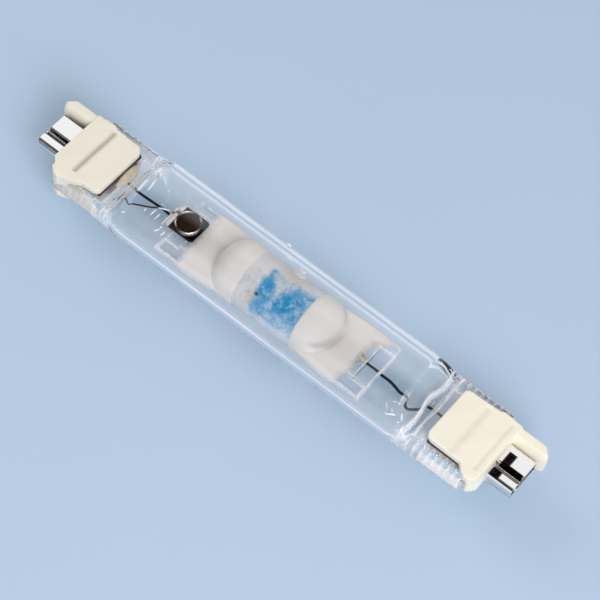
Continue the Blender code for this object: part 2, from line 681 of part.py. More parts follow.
def make_cap(side, label):
    """Steatite cap: two jaws over the press, a flange, a neck and a locating finger."""
    name = "cap_" + label
    half_flange = FLANGE_WIDTH / 2
    back = FLANGE_START + GROOVE_WIDTH
    outline = [(back, CAP_EDGE - half_flange), (back, FINGER_OUTER_Y),
               (TIP_END - FINGER_CHAMFER, FINGER_OUTER_Y),
               (TIP_END, FINGER_OUTER_Y - 1.2 * FINGER_CHAMFER), (TIP_END, FINGER_INNER_Y + CAP_EDGE),
               (TIP_END - 2 * CAP_EDGE, FINGER_INNER_Y), (NECK_END, FINGER_INNER_Y),
               (NECK_END, NECK_CHAMFER - half_flange), (NECK_END - NECK_CHAMFER, CAP_EDGE - half_flange)]
    cap = outline_plate(name, [(side * x, y) for x, y in outline],
                        -NECK_THICKNESS / 2, NECK_THICKNESS / 2, LAMP, bevel=CAP_EDGE)

    jaw_x, jaw_y = JAW_START + JAW_CORNER, JAW_WIDTH / 2 - JAW_CORNER
    jaw_back = FLANGE_START + 2 * CAP_EDGE
    outline = (rounded_corner((jaw_x, jaw_y), JAW_CORNER, math.pi / 2)
               + rounded_corner((jaw_x, -jaw_y), JAW_CORNER, math.pi)
               + [(jaw_back, -JAW_WIDTH / 2), (jaw_back, JAW_WIDTH / 2)])
    jaws = outline_plate(name + "_jaws", [(side * x, y) for x, y in outline],
                         -JAW_THICKNESS / 2, JAW_THICKNESS / 2, CUTTERS, bevel=CAP_EDGE * 1.5)
    flange = side_box(name + "_flange", side, (FLANGE_START, FLANGE_START + FLANGE_LENGTH),
                      half_flange, FLANGE_THICKNESS / 2, CUTTERS, bevel=CAP_EDGE * 1.5)
    boolean(cap, jaws, "UNION")
    boolean(cap, flange, "UNION")
    for direction, face in ((-1, "bottom"), (1, "top")):
        z = direction * (JAW_THICKNESS / 2 + GROOVE_WIDTH / 2 - GROOVE_DEPTH)
        bm = bmesh.new()
        place = (Matrix.Translation((side * FLANGE_START, 0, z))
                 @ Matrix.Rotation(math.pi / 2, 4, "X"))
        bmesh.ops.create_cone(bm, cap_ends=True, segments=16, radius1=GROOVE_WIDTH / 2,
                              radius2=GROOVE_WIDTH / 2, depth=GROOVE_LENGTH, matrix=place)
        boolean(cap, object_from_bmesh(name + "_groove_" + face, bm, CUTTERS), "DIFFERENCE")
    slot = side_box(name + "_slot", side, (JAW_START - OVERSHOOT, SLOT_END),
                    half_flange + OVERSHOOT, SLOT_HALF, CUTTERS)
    half_mouth = TAIL_WIDTH / 2 + GAP
    ends = sorted((side * (SLOT_END - OVERSHOOT / 2), side * (NECK_END + OVERSHOOT / 2)))
    mouth = box(name + "_mouth", (ends[0], -half_mouth, CONTACT_SHEET / 2 - CONTACT_THICKNESS / 2 - GAP),
                (ends[1], half_mouth, CONTACT_LEAD_DIAMETER / 2 + GAP), CUTTERS)
    boolean(cap, slot, "DIFFERENCE")
    boolean(cap, mouth, "DIFFERENCE")
    finish(cap, STEATITE)


# Front edge of the cement as (share of the half width, share of the bead's reach)
BEAD_LEFT = ((-0.45, 0.0), (-0.43, 0.1), (-0.2, 0.55), (0.02, 0.8), (0.26, 1.0), (0.44, 0.8),
             (0.66, 0.3), (0.82, 0.0))
BEAD_RIGHT = ((-0.6, 0.0), (0.0, 0.05), (0.7, 0.0))


def make_cement(side, label):
    """Cement on both faces of the press web, joined round its end by a thin wall."""
    name = "cement_" + label
    half = CEMENT_HALF_WIDTH
    start = JAW_START + 2 * GAP
    reach = start - (PRESS_START + CEMENT_BEAD_CLEARANCE)
    bead = BEAD_LEFT if side < 0 else BEAD_RIGHT
    front = [(start - depth * reach, share * half) for share, depth in bead]
    outline = [(start, -half)] + front + [(start, half), (CEMENT_OUTER_END, half),
                                          (CEMENT_OUTER_END, -half)]
    cement = outline_plate(name, [(side * x, y) for x, y in outline], -CEMENT_HALF, CEMENT_HALF, LAMP)
    web = side_box(name + "_press_space", side, (PRESS_START - OVERSHOOT, CEMENT_INNER_END),
                   half + OVERSHOOT, PRESS_WEB / 2 + GAP, CUTTERS)
    ends = (side * (CEMENT_INNER_END - OVERSHOOT), side * (CEMENT_OUTER_END + OVERSHOOT))
    hole = x_rod(name + "_lead_hole", ends, CONTACT_LEAD_DIAMETER / 2 + GAP, 0, 0, CUTTERS)
    boolean(cement, web, "DIFFERENCE")
    boolean(cement, hole, "DIFFERENCE")
    finish(cement, CEMENT)


def make_contact(side, label):
    """Nickel strip folded to a flat tube, one edge turned in and the other rolled to a bead."""
    half_y = CONTACT_WIDTH / 2 - CONTACT_SHEET / 2
    half_z = CONTACT_THICKNESS / 2 - CONTACT_SHEET / 2
    lip_y = SEAM_Y + SEAM_WIDTH / 2
    bead_y = SEAM_Y - SEAM_WIDTH / 2
    bend = CONTACT_BEND
    part_bend = 0.3 * bend
    seam_floor = half_z - SEAM_DEPTH
    turned_in = [(lip_y, seam_floor), (lip_y, half_z - part_bend), (lip_y + part_bend, half_z)]
    round_the_side = [(half_y - bend, half_z), (half_y - part_bend, half_z - part_bend),
                      (half_y, half_z - bend)]
    under = [(y, -z) for y, z in reversed(round_the_side)]
    far_side = [(-y, z) for y, z in reversed(round_the_side + under)]
    bead = [(bead_y - part_bend, half_z), (bead_y, half_z - part_bend), (bead_y, seam_floor),
            (bead_y + 0.3 * SEAM_WIDTH, seam_floor),
            (bead_y + 0.4 * SEAM_WIDTH, half_z - 0.2 * SEAM_DEPTH)]
    profile = turned_in + round_the_side + under + far_side + bead
    bm = bmesh.new()
    ends = (side * CONTACT_START, side * CONTACT_END)
    rows = [[bm.verts.new((x, y, z)) for x in ends] for y, z in profile]
    for first, second in zip(rows, rows[1:]):
        bm.faces.new((first[0], first[1], second[1], second[0]))
    contact = object_from_bmesh("contact_" + label, bm, LAMP)
    wall = contact.modifiers.new("sheet", "SOLIDIFY")
    wall.thickness = CONTACT_SHEET
    wall.offset = 0.0
    wall.use_even_offset = True
    ends = sorted((side * (SLOT_END + GAP), side * (CONTACT_START + TAIL_OVERLAP)))
    tail = box("contact_tail_" + label, (ends[0], -TAIL_WIDTH / 2, -half_z),
               (ends[1], TAIL_WIDTH / 2, -CONTACT_LEAD_DIAMETER / 2 - GAP), CUTTERS)
    boolean(contact, tail, "UNION")
    finish(contact, NICKEL)


def make_halide_dose():
    """Flattened drop of condensed salt on the inner wall of the arc tube."""
    radial = Vector((0, math.cos(DOSE_ANGLE), math.sin(DOSE_ANGLE)))
    centre = Vector((DOSE_X, 0, 0)) + radial * (BULB_BORE - GAP - DOSE_SIZE[2] / 2)
    turn = Matrix.Rotation(DOSE_ANGLE + math.pi / 2, 4, "X")
    scale = Matrix.Diagonal((DOSE_SIZE[0] / 2, DOSE_SIZE[1] / 2, DOSE_SIZE[2] / 2, 1))
    bm = bmesh.new()
    bmesh.ops.create_uvsphere(bm, u_segments=12, v_segments=8, radius=1.0,
                              matrix=Matrix.Translation(centre) @ turn @ scale)
    finish(object_from_bmesh("halide_dose", bm, LAMP), HALIDE)


make_outer_envelope()
make_arc_tube()
make_reflector_coats()
make_burner_inner_parts()
make_leads()
make_getter()
for side_sign, side_name in SIDES:
    make_cap(side_sign, side_name)
    make_cement(side_sign, side_name)
    make_contact(side_sign, side_name)
make_halide_dose()
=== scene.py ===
"""Looks of a double-ended metal halide lamp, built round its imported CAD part.

Metres, in the CAD part's own frame: the lamp lies along X with its pinch seals flat in the XY
plane, the caps' locating fingers are on the +Y side, and the getter faces +Z.
"""
import math

import bmesh
import bpy
import numpy as np
from mathutils import Matrix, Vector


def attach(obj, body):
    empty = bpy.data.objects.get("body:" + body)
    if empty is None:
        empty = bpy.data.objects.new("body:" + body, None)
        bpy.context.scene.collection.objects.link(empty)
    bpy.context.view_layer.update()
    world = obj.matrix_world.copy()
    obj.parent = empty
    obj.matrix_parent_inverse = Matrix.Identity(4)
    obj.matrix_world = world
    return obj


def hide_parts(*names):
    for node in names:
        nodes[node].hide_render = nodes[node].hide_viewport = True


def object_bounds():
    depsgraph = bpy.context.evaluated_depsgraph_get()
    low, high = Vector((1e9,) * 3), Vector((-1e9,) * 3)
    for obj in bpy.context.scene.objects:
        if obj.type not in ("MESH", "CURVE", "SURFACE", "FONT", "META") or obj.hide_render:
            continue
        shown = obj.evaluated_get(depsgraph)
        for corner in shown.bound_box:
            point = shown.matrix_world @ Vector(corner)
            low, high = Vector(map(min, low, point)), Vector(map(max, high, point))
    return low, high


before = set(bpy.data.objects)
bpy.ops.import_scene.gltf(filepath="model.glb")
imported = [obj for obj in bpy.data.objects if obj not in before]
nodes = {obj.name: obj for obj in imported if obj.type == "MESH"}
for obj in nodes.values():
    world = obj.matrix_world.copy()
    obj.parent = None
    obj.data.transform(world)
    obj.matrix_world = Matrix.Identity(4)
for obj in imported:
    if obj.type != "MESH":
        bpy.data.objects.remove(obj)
cad_box = [list(corner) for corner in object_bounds()]


# Camera
# A long lens half a metre away, 58 degrees above the floor and a little round to the lamp's right,
# turned so that the lamp runs from the upper left to the lower right of the picture.
CAMERA_PLACE = (0.154095, -0.246555, 0.475362)
LEVEL_RIGHT = np.array((0.963269, 0.122795, -0.238818))
LEVEL_UP = np.array((0.002367, 0.885411, 0.464803))
CAMERA_ROLL = math.radians(36.7)
LENS = 128.65
scene = bpy.context.scene


def added(name, data):
    """A new object in the scene."""
    made = bpy.data.objects.new(name, data)
    scene.collection.objects.link(made)
    return made


def placed(name, data, place, right, up, back):
    """A camera or lamp at place that looks away from back, with right and up across its view."""
    made = added(name, data)
    matrix = np.eye(4)
    matrix[:3, :3] = np.stack([right, up, back], axis=1)
    matrix[:3, 3] = place
    made.matrix_world = Matrix(matrix.tolist())
    return made


turn_cos, turn_sin = math.cos(CAMERA_ROLL), math.sin(CAMERA_ROLL)
camera_right = turn_cos * LEVEL_RIGHT + turn_sin * LEVEL_UP
camera_up = turn_cos * LEVEL_UP - turn_sin * LEVEL_RIGHT
camera_back = np.cross(camera_right, camera_up)
camera_data = bpy.data.cameras.new("camera")
camera_data.lens = LENS
camera_data.sensor_width = 36.0
camera_data.clip_start = 0.01
camera_data.clip_end = 20.0
scene.camera = placed("camera", camera_data, CAMERA_PLACE, camera_right, camera_up, camera_back)
scene.view_settings.view_transform = "Standard"


# Floor and light
# A plain pale sheet of paper under the lamp, which fades into an even pale room, and two large soft
# boxes. They stand off the lamp's ends: one across its length would lay a white stripe on the tube.
MM = 0.001


def linear(hex_colour):
    """An sRGB hex colour as linear red, green, blue and alpha 1."""
    channels = [int(hex_colour[i:i + 2], 16) / 255 for i in (1, 3, 5)]
    return tuple(c / 12.92 if c <= 0.04045 else ((c + 0.055) / 1.055) ** 2.4
                 for c in channels) + (1.0,)


def node(tree, kind, inputs=(), **settings):
    """Adds a shader node. inputs maps sockets to values, to outputs, or to nodes, of which the
    first output is taken."""
    made = tree.nodes.new("ShaderNode" + kind)
    for key, value in settings.items():
        setattr(made, key, value)
    for socket, value in dict(inputs).items():
        if isinstance(value, bpy.types.Node):
            value = value.outputs[0]
        if isinstance(value, bpy.types.NodeSocket):
            tree.links.new(value, made.inputs[socket])
        else:
            made.inputs[socket].default_value = value
    return made


def new_material(name):
    """An empty material; returns it, its node tree and the place on the lamp, in metres."""
    material = bpy.data.materials.new(name)
    material.use_nodes = True
    tree = material.node_tree
    tree.nodes.clear()
    return material, tree, node(tree, "TexCoord").outputs["Object"]


def either_ray(tree, one, other):
    """1 for rays of either kind, 0 for all others."""
    rays = node(tree, "LightPath").outputs
    return node(tree, "Math", {0: rays[one], 1: rays[other]}, operation="MAXIMUM")


def speckle(tree, place, size, dark, light, detail=4.0):
    """A noise whose lumps are size mm wide, and the colour that it turns from dark to light."""
    noise = node(tree, "TexNoise", {"Vector": place, "Scale": 1 / (size * MM), "Detail": detail})
    mixed = node(tree, "Mix", {0: noise, 6: linear(dark), 7: linear(light)}, data_type="RGBA")
    return noise, mixed.outputs[2]


PAPER = "#B7CCE2"
ROOM_WHITE = "#FAFBFD"
ROOM_STRENGTH = 0.50
FLOOR_HALF = 3.0

paper, tree, place = new_material("pale_paper")
tint = speckle(tree, place, 166.7, PAPER, "#BBCFE4", detail=2.0)[1]
matt = node(tree, "BsdfPrincipled", {"Base Color": tint, "Roughness": 0.9,
                                     "Specular IOR Level": 0.1})
far = node(tree, "VectorMath", {0: place}, operation="LENGTH")
fade = node(tree, "MapRange", {"Value": far.outputs["Value"], "From Min": 0.4, "From Max": 1.4},
            interpolation_type="SMOOTHSTEP")
haze = node(tree, "Emission", {"Color": linear(PAPER), "Strength": 1.0})
surface = node(tree, "MixShader", {0: fade, 1: matt, 2: haze})
node(tree, "OutputMaterial", {"Surface": surface})


def board(name, middle, along, across, material, seen=True):
    """A flat stage board: middle, plus and minus along and across. If it isn't seen, then only
    glass and metal see it."""
    middle, along, across = (np.array(part, float) for part in (middle, along, across))
    mesh = bpy.data.meshes.new(name)
    mesh.from_pydata([(middle + a * along + b * across).tolist()
                      for a, b in ((-1, -1), (1, -1), (1, 1), (-1, 1))], [], [(0, 1, 2, 3)])
    mesh.materials.append(material)
    made = added(name, mesh)
    made.visible_camera = made.visible_diffuse = made.visible_shadow = seen
    return made


floor_z = cad_box[0][2]
board("floor", (0, 0, floor_z), (FLOOR_HALF, 0, 0), (0, FLOOR_HALF, 0), paper)

world = bpy.data.worlds.new("room")
world.use_nodes = True
tree = world.node_tree
tree.nodes.clear()
plain = node(tree, "Background", {"Color": linear(PAPER), "Strength": 1.0})
white = node(tree, "Background", {"Color": linear(ROOM_WHITE), "Strength": 1.0})
light = node(tree, "Background", {"Color": linear(ROOM_WHITE), "Strength": ROOM_STRENGTH})
mirrored = either_ray(tree, "Is Glossy Ray", "Is Transmission Ray")
mixed = node(tree, "MixShader", {0: mirrored, 1: light, 2: white})
from_camera = node(tree, "LightPath").outputs["Is Camera Ray"]
mixed = node(tree, "MixShader", {0: from_camera, 1: mixed, 2: plain})
node(tree, "OutputWorld", {"Surface": mixed})
scene.world = world
scene.cycles.max_bounces = 48
scene.cycles.transmission_bounces = 48
scene.cycles.glossy_bounces = 48
scene.cycles.transparent_max_bounces = 16


def unit(vectors):
    """The vectors, scaled to length 1."""
    return vectors / np.linalg.norm(vectors, axis=-1, keepdims=True)


def soft_box(name, place, aim, size, power):
    """A square area lamp at place, turned to face aim."""
    data = bpy.data.lights.new(name, "AREA")
    data.size = size
    data.energy = power
    back = unit(np.array(place) - np.array(aim))
    side = unit(np.cross((0, 0, 1), back))
    placed(name, data, place, side, np.cross(back, side), back)


soft_box("key_box", (0.70, -0.50, 0.70), (0.0, 0.0, 0.0), 0.6, 7.8)
soft_box("fill_box", (-0.9, 0.1, 0.6), (0.0, 0.0, 0.0), 0.6, 2.5)

# Card on the paper along both sides of the lamp: tone, and from where to where along y in mm. Only
# the glass and the metal see it: white card edges the strips along the tube's walls with white, and
# blue-grey card gives their middles.
CARDS = (("#E9EDF6", -160.0, -14.5), ("#A6BEDA", -14.5, -10.0), ("#E9EDF6", 27.0, 49.0),
         ("#A6BEDA", 49.0, 160.0))
CARD_HALF = 160.0 * MM
CARD_LIFT = 0.1 * MM
for tone, low_y, high_y in CARDS:
    card, tree, place = new_material("card")
    surface = node(tree, "Emission", {"Color": linear(tone), "Strength": 1.0})
    node(tree, "OutputMaterial", {"Surface": surface})
    board("card", (0, (low_y + high_y) / 2 * MM, floor_z + CARD_LIFT), (CARD_HALF, 0, 0),
                   (0, (high_y - low_y) / 2 * MM, 0), card, seen=False)

# A flag hangs behind the camera, black in its middle and fading to the room's white at its edges.
# Only the glass and the metal see it: it keeps the white room's reflection off the middle of the
# tube, so that what is inside shows its own colours.
FLAG_ANGLE = math.radians(119)
FLAG_AWAY = 1.2
FLAG_HALF = 1.0
flag_mid = np.array((-0.35, FLAG_AWAY * math.cos(FLAG_ANGLE), FLAG_AWAY * math.sin(FLAG_ANGLE)))
flag_up = np.array((0.0, -math.sin(FLAG_ANGLE), math.cos(FLAG_ANGLE)))
felt, tree, place = new_material("faded_felt")
off = node(tree, "VectorMath", {0: place, 1: flag_mid.tolist()}, operation="DISTANCE")
fade = node(tree, "MapRange", {"Value": off.outputs["Value"], "From Min": 0.3,
                               "From Max": FLAG_HALF}, interpolation_type="SMOOTHSTEP")
surface = node(tree, "Emission", {"Color": linear(ROOM_WHITE), "Strength": fade})
node(tree, "OutputMaterial", {"Surface": surface})
board("black_flag", flag_mid, (FLAG_HALF, 0, 0), FLAG_HALF * flag_up, felt, seen=False)


# Outer envelope
# A fused-quartz tube, softened in a flame and pinched flat at both ends while the leads were held
# in it. The pinching jaws left a thin web, thick round rails along its edges and cross ribs.
TUBE_RADIUS = 12.7 * MM
TUBE_WALL = 1.6 * MM
SHOULDER_START = 44.0 * MM
PRESS_START = 51.5 * MM
PRESS_END = 68.2 * MM
PRESS_HALF_WIDTH = 12.95 * MM
WEB_HALF = 1.5 * MM
RAIL_HALF = 2.6 * MM
RAIL_WIDTH = 3.2 * MM
RAIL_SLOPE = 1.6 * MM
RIB_PITCH = 2.0 * MM
RIB_HEIGHT = (0.15 * MM, 0.4 * MM)
CHAMBER_REACH = (51.5 * MM, 51.0 * MM)
CHAMBER_CORNER = 3.2 * MM
CHAMBER_BLUNT = 1.2 * MM
TUBE_POINTS = 144
SAME_POINT = 1e-7
SHARP_ANGLE = math.radians(35)


def ramp(value, low, high):
    """0 below low and 1 above high, with the S-curve 3t^2 - 2t^3 between."""
    t = np.clip((value - low) / (high - low), 0.0, 1.0)
    return t * t * (3 - 2 * t)


def quarter(distance, radius):
    """Height of a quarter circle: 1 up to distance 0, falling to 0 at the radius."""
    return np.sqrt(np.clip(1 - (np.clip(distance, 0, radius) / radius) ** 2, 0, 1))


def bump(off, width):
    """A soft bump: exp(-(off / width)^2)."""
    return np.exp(-(off / width) ** 2)


def around(count):
    """Angles of a ring, from +Y over +Z, as one row."""
    return np.linspace(0, 2 * math.pi, count, endpoint=False)[None, :]


def rings_to_shell(rings):
    """Vertices and faces of a closed skin through rings (rows, points, 3), flat at both ends."""
    rows, count = rings.shape[:2]
    low = np.arange((rows - 1) * count).reshape(rows - 1, count)
    low_next = np.roll(low, -1, axis=1)
    quads = np.stack([low, low_next, low_next + count, low + count], axis=-1).reshape(-1, 4)
    ends = [np.arange(count)[::-1].tolist(), (np.arange(count) + (rows - 1) * count).tolist()]
    return rings.reshape(-1, 3), quads.tolist() + ends


def set_down(name, mesh, paint):
    """Paints a finished mesh and sets it on the lamp.

    paint maps attribute names to functions of the points, (n, 3), that give (n,) or (n, 3) arrays.
    """
    where = np.empty(len(mesh.vertices) * 3, np.float32)
    mesh.vertices.foreach_get("co", where)
    for attribute, rule in (paint or {}).items():
        values = np.asarray(rule(where.reshape(-1, 3)), np.float32)
        kind, key = ("FLOAT", "value") if values.ndim == 1 else ("FLOAT_VECTOR", "vector")
        mesh.attributes.new(attribute, kind, "POINT").data.foreach_set(key, values.ravel())
    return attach(added(name, mesh), "root")


def piece(name, solids, material, cavities=(), paint=None):
    """One painted object from closed shells. Faces point out of each solid and into each cavity."""
    whole = bmesh.new()
    for shells, hollow in ((solids, False), (cavities, True)):
        for points, faces in shells:
            mesh = bpy.data.meshes.new("shell")
            mesh.from_pydata(points.tolist(), [], faces)
            shell = bmesh.new()
            shell.from_mesh(mesh)
            bmesh.ops.remove_doubles(shell, verts=shell.verts, dist=SAME_POINT)
            bmesh.ops.recalc_face_normals(shell, faces=shell.faces)
            if hollow:
                bmesh.ops.reverse_faces(shell, faces=shell.faces)
            shell.to_mesh(mesh)
            shell.free()
            whole.from_mesh(mesh)
            bpy.data.meshes.remove(mesh)
    mesh = bpy.data.meshes.new(name)
    whole.to_mesh(mesh)
    whole.free()
    mesh.shade_smooth()
    mesh.set_sharp_from_angle(angle=SHARP_ANGLE)
    mesh.materials.append(material)
    return set_down(name, mesh, paint)


def envelope_skin(x, t):
    """Outer skin: a circle that turns into the press, y = half width * cos t in both.

    The press's half height is a thin web, an S-shaped slope with cross ribs and a round-edged rail.
    """
    distance = np.abs(x)
    flat = ramp(distance, SHOULDER_START, PRESS_START)
    corner = RAIL_WIDTH / 2
    half_width = PRESS_HALF_WIDTH - corner * (1 - quarter(distance - PRESS_END + corner, corner))
    y = np.abs(np.cos(t)) * PRESS_HALF_WIDTH
    rail_edge = PRESS_HALF_WIDTH - RAIL_WIDTH + RAIL_SLOPE / 2
    rail = ramp(y, rail_edge - RAIL_SLOPE, rail_edge)
    on_slope = 4 * rail * (1 - rail)
    cross = (np.cos(2 * math.pi * (distance - PRESS_START) / RIB_PITCH) - 1) / 2
    rib = np.where(x < 0, *RIB_HEIGHT) * on_slope * cross
    half = (WEB_HALF + (RAIL_HALF - WEB_HALF) * rail + rib) * quarter(
        y - (PRESS_HALF_WIDTH - RAIL_WIDTH / 2), RAIL_WIDTH / 2)
    press_y = half_width * np.cos(t)
    press_z = half * np.sign(np.round(np.sin(t), 6))
    return np.stack([x + 0 * t, (1 - flat) * TUBE_RADIUS * np.cos(t) + flat * press_y,
                     (1 - flat) * TUBE_RADIUS * np.sin(t) + flat * press_z], axis=-1)


def tube_space(x, t):
    """Inside of the tube: the bore narrows with the shoulder and is rounded off at its ends.

    The last two millimetres wander, because the glass closed there by itself.
    """
    distance = np.abs(x)
    end = np.where(x < 0, CHAMBER_REACH[0], CHAMBER_REACH[1])
    flat = ramp(distance, SHOULDER_START, PRESS_START)
    crown = (1 - flat) * TUBE_RADIUS + flat * WEB_HALF
    half_y = TUBE_RADIUS - TUBE_WALL - CHAMBER_CORNER * (
        1 - quarter(distance - end + CHAMBER_CORNER, CHAMBER_CORNER))
    half_z = np.maximum(crown - TUBE_WALL * (1 - 0.45 * flat), 0.3 * MM) * np.maximum(
        quarter(distance - end + CHAMBER_BLUNT, CHAMBER_BLUNT), 0.12)
    y = half_y * np.cos(t)
    wander = 0.3 * MM * np.sin(y / (1.6 * MM) + 0.8) * ramp(distance, end - 2.5 * MM, end)
    return np.stack([x + np.sign(x) * wander, y, half_z * np.sin(t)], axis=-1)


# Shares of red, green and blue light that one skin of quartz lets through, and alpha.
LET_THROUGH = (0.95, 0.955, 0.96, 1.0)


def milky_glass(tree, clear, film, amount):
    """Glass with a milky film over it by amount; lamps and matt pieces see straight through it."""
    mixed = node(tree, "MixShader", {0: amount, 1: clear, 2: film})
    straight = either_ray(tree, "Is Shadow Ray", "Is Diffuse Ray")
    passed = node(tree, "BsdfTransparent", {"Color": LET_THROUGH})
    surface = node(tree, "MixShader", {0: straight, 1: mixed, 2: passed})
    node(tree, "OutputMaterial", {"Surface": surface})


QUARTZ_IOR = 1.458
quartz, tree, place = new_material("fused_quartz")
# Fused quartz: water-clear and fire-polished, with faint drawing waves, 4.5 mm wide, that run along
# the tube. Where the jaws pressed it, it is rough and milky, and white lines on it are painted
# highlights, as an attribute says, in clouds of two millimetres.
drawn = node(tree, "Mapping", {"Vector": place, "Scale": (0.12, 1.0, 1.0)})
waves = node(tree, "TexNoise", {"Vector": drawn, "Scale": 1 / (4.545 * MM), "Detail": 2.0})
relief = node(tree, "Bump", {"Height": waves, "Distance": 0.08 * MM, "Strength": 0.5})
clear = node(tree, "BsdfPrincipled", {"Base Color": linear("#FFFFFF"), "Roughness": 0.0,
                                      "IOR": QUARTZ_IOR, "Transmission Weight": 1.0,
                                      "Normal": relief})
milk_and_glint = node(tree, "Attribute", attribute_name="milk_and_glint")
cloud = node(tree, "TexNoise", {"Vector": place, "Scale": 1 / (2.0 * MM), "Detail": 4.0})
cloud = node(tree, "MapRange", {"Value": cloud, "From Min": 0.3, "From Max": 0.7, "To Min": 0.6,
                                "To Max": 1.0})
amount = node(tree, "Math", {0: milk_and_glint.outputs["Fac"], 1: cloud}, operation="MULTIPLY")
film = node(tree, "BsdfPrincipled", {"Base Color": linear("#EBECF3"), "Roughness": 0.4})
milky_glass(tree, clear, film, amount)


# Painted highlights: white lines where the glass folded: x, how much the line wanders and how wide
# it is, in mm. They are on the upper skin, which is more than INNER_HALF above the middle, as the
# bore's wall is not.
INNER_HALF = 1.4 * MM
FOLDS = ((-51.0, 0.12, 0.32), (-49.6, 0.15, 0.45), (48.75, 0.3, 0.28), (51.2, 0.2, 0.26))


def press_milk_and_glints(where):
    """How milky the quartz is, and where highlights are painted: 0 on the tube, some on the press's
    web and on the rails' sides.

    Between them the slope is clear but for painted highlights on its ribs, strong at the right and
    faint at the left. Painted white highlight lines run where the glass folded: FOLDS, the chamber's
    ends and the side creases.
    """
    x, y, height = where[:, 0], np.abs(where[:, 1]), np.abs(where[:, 2])
    distance = np.abs(x)
    from_rib = np.abs((distance - PRESS_START) % RIB_PITCH - RIB_PITCH / 2)
    # Painted highlights in lines across the ribs.
    rib = ramp(from_rib, RIB_PITCH / 2 - 0.45 * MM, RIB_PITCH / 2 - 0.1 * MM)
    rib = rib * ramp(y, 7.6 * MM, 8.4 * MM)
    pressed = ramp(distance, PRESS_START - 1.5 * MM, PRESS_START + 1.5 * MM)
    web = 0.22 + 0.25 * ramp(y, 5.0 * MM, 7.0 * MM)
    slope = ramp(y, 9.0 * MM, 9.6 * MM) * (1 - ramp(y, 11.4 * MM, 12.0 * MM))
    lines = pressed * (web * (1 - slope) + np.where(x > 0, 0.5, 0.16) * rib)
    end = np.where(x < 0, CHAMBER_REACH[0], CHAMBER_REACH[1])
    over_corner = np.clip(y - (TUBE_RADIUS - TUBE_WALL - CHAMBER_CORNER), 0, CHAMBER_CORNER)
    end = end - CHAMBER_CORNER + np.sqrt(CHAMBER_CORNER ** 2 - over_corner ** 2)
    inner_end = ramp(distance, end - 1.1 * MM, end - 0.5 * MM) * (height < INNER_HALF)
    inner_end = inner_end * (distance < 52 * MM)
    crease = ramp(distance, 46.0 * MM, 48.0 * MM) * ramp(y, 10.6 * MM, 12.0 * MM)
    crease = crease * (distance < PRESS_START)
    lines = np.maximum(lines, np.maximum(0.8 * inner_end, 0.55 * crease))
    for at, wander, wide in FOLDS:
        off = x / MM - at - wander * np.sin(where[:, 1] / (1.9 * MM) + at)
        lines = np.maximum(lines, 1.35 * bump(off, wide) * (where[:, 2] > INNER_HALF))
    return lines


half = np.concatenate([np.linspace(0, 12, 25), np.linspace(14, 43, 8), np.linspace(44, 51.5, 26),
                       np.linspace(51.7, 66.6, 76), 68.2 - 1.6 * (1 - np.sin(np.linspace(0.1, 1, 9)
                                                                            * math.pi / 2))]) * MM
stations = np.concatenate([-half[:0:-1], half])[:, None]
skin = envelope_skin(stations, around(TUBE_POINTS))
left_end, right_end = CHAMBER_REACH
half_turn = np.sin(np.linspace(0, math.pi / 2, 14))
inside = np.concatenate([-left_end + CHAMBER_CORNER * (1 - half_turn[::-1]),
                         np.linspace(-48.1, -43.2, 24) * MM, np.linspace(-42, 42, 12) * MM,
                         np.linspace(43.2, 47.7, 22) * MM,
                         right_end - CHAMBER_CORNER * (1 - half_turn)])[:, None]
envelope = piece("quartz_envelope", [rings_to_shell(skin)], quartz,
                 cavities=[rings_to_shell(tube_space(inside, around(TUBE_POINTS)))],
                 paint={"milk_and_glint": press_milk_and_glints})
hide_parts("outer_envelope")

# Painted glints: small white slivers on the tube's skin, standing in for highlights: where each
# starts and ends, as x in mm and degrees round the tube, and its half width in mm.
GLINT_SLIVERS = ((43.2, 152, 45.5, 144, 0.30), (46.4, 134, 47.3, 141, 0.24), (46.5, 149, 47.1, 146, 0.18),
         (45.1, 97, 45.4, 96, 0.14), (41.9, 139, 43.1, 147, 0.09), (43.1, 134, 44.2, 131, 0.09),
         (44.2, 131, 45.3, 130, 0.08), (43.7, 142, 44.5, 144, 0.14), (42.9, 149, 43.2, 153, 0.12),
         (-42.6, 89, -42.1, 108, 0.22), (-44.0, 74, -42.2, 76, 0.10),
         (-39.7, 130, -39.6, 125, 0.17), (-37.7, 129, -37.1, 119, 0.17),
         (-36.1, 130, -35.5, 120, 0.15), (-33.6, 135, -33.2, 131, 0.18),
         (-34.6, 142, -33.4, 136, 0.20), (-32.4, 142, -31.7, 134, 0.17),
         (-45.2, 148, -44.2, 144, 0.20), (-6.8, 64, -3.6, 63, 0.30), (-3.0, 65, -0.4, 68, 0.22))
GLINT_SLIVER_HEIGHT = 0.2


def glint_sliver(x0, angle0, x1, angle1, half_width):
    """A lens-shaped sliver on the skin: its half width follows sqrt(1 - s^2) from end to end."""
    s = np.linspace(-0.99, 0.99, 11)
    x = (x0 + (x1 - x0) * (s + 1) / 2) * MM
    t = np.radians(angle0 + (angle1 - angle0) * (s + 1) / 2)
    line = envelope_skin(x, t)
    ahead = np.gradient(line, axis=0)
    out = np.stack([0 * x, np.cos(t), np.sin(t)], axis=1)
    aside = unit(np.cross(ahead, out))
    width = (half_width * MM * np.sqrt(1 - s ** 2))[:, None, None]
    turn = around(8)[..., None]
    return line[:, None, :] + width * (np.cos(turn) * aside[:, None, :]
                                       + GLINT_SLIVER_HEIGHT * np.sin(turn) * out[:, None, :])


# The scar where the tube was pumped out and sealed, a low bead.
SCAR_PLACE = (-6.2 * MM, 11.0 * MM, 6.5 * MM)
SCAR_SIZE = (0.75 * MM, 0.45 * MM, 0.45 * MM)


def ellipsoid(centre, size, rows=24, count=40):
    """Rings of an ellipsoid, x from -size to size: y and z shrink by sin of the row's angle."""
    angle = np.linspace(0, math.pi, rows)[:, None]
    t = around(count)
    return np.stack([centre[0] - size[0] * np.cos(angle) + 0 * t,
                     centre[1] + size[1] * np.sin(angle) * np.cos(t),
                     centre[2] + size[2] * np.sin(angle) * np.sin(t)], axis=-1)
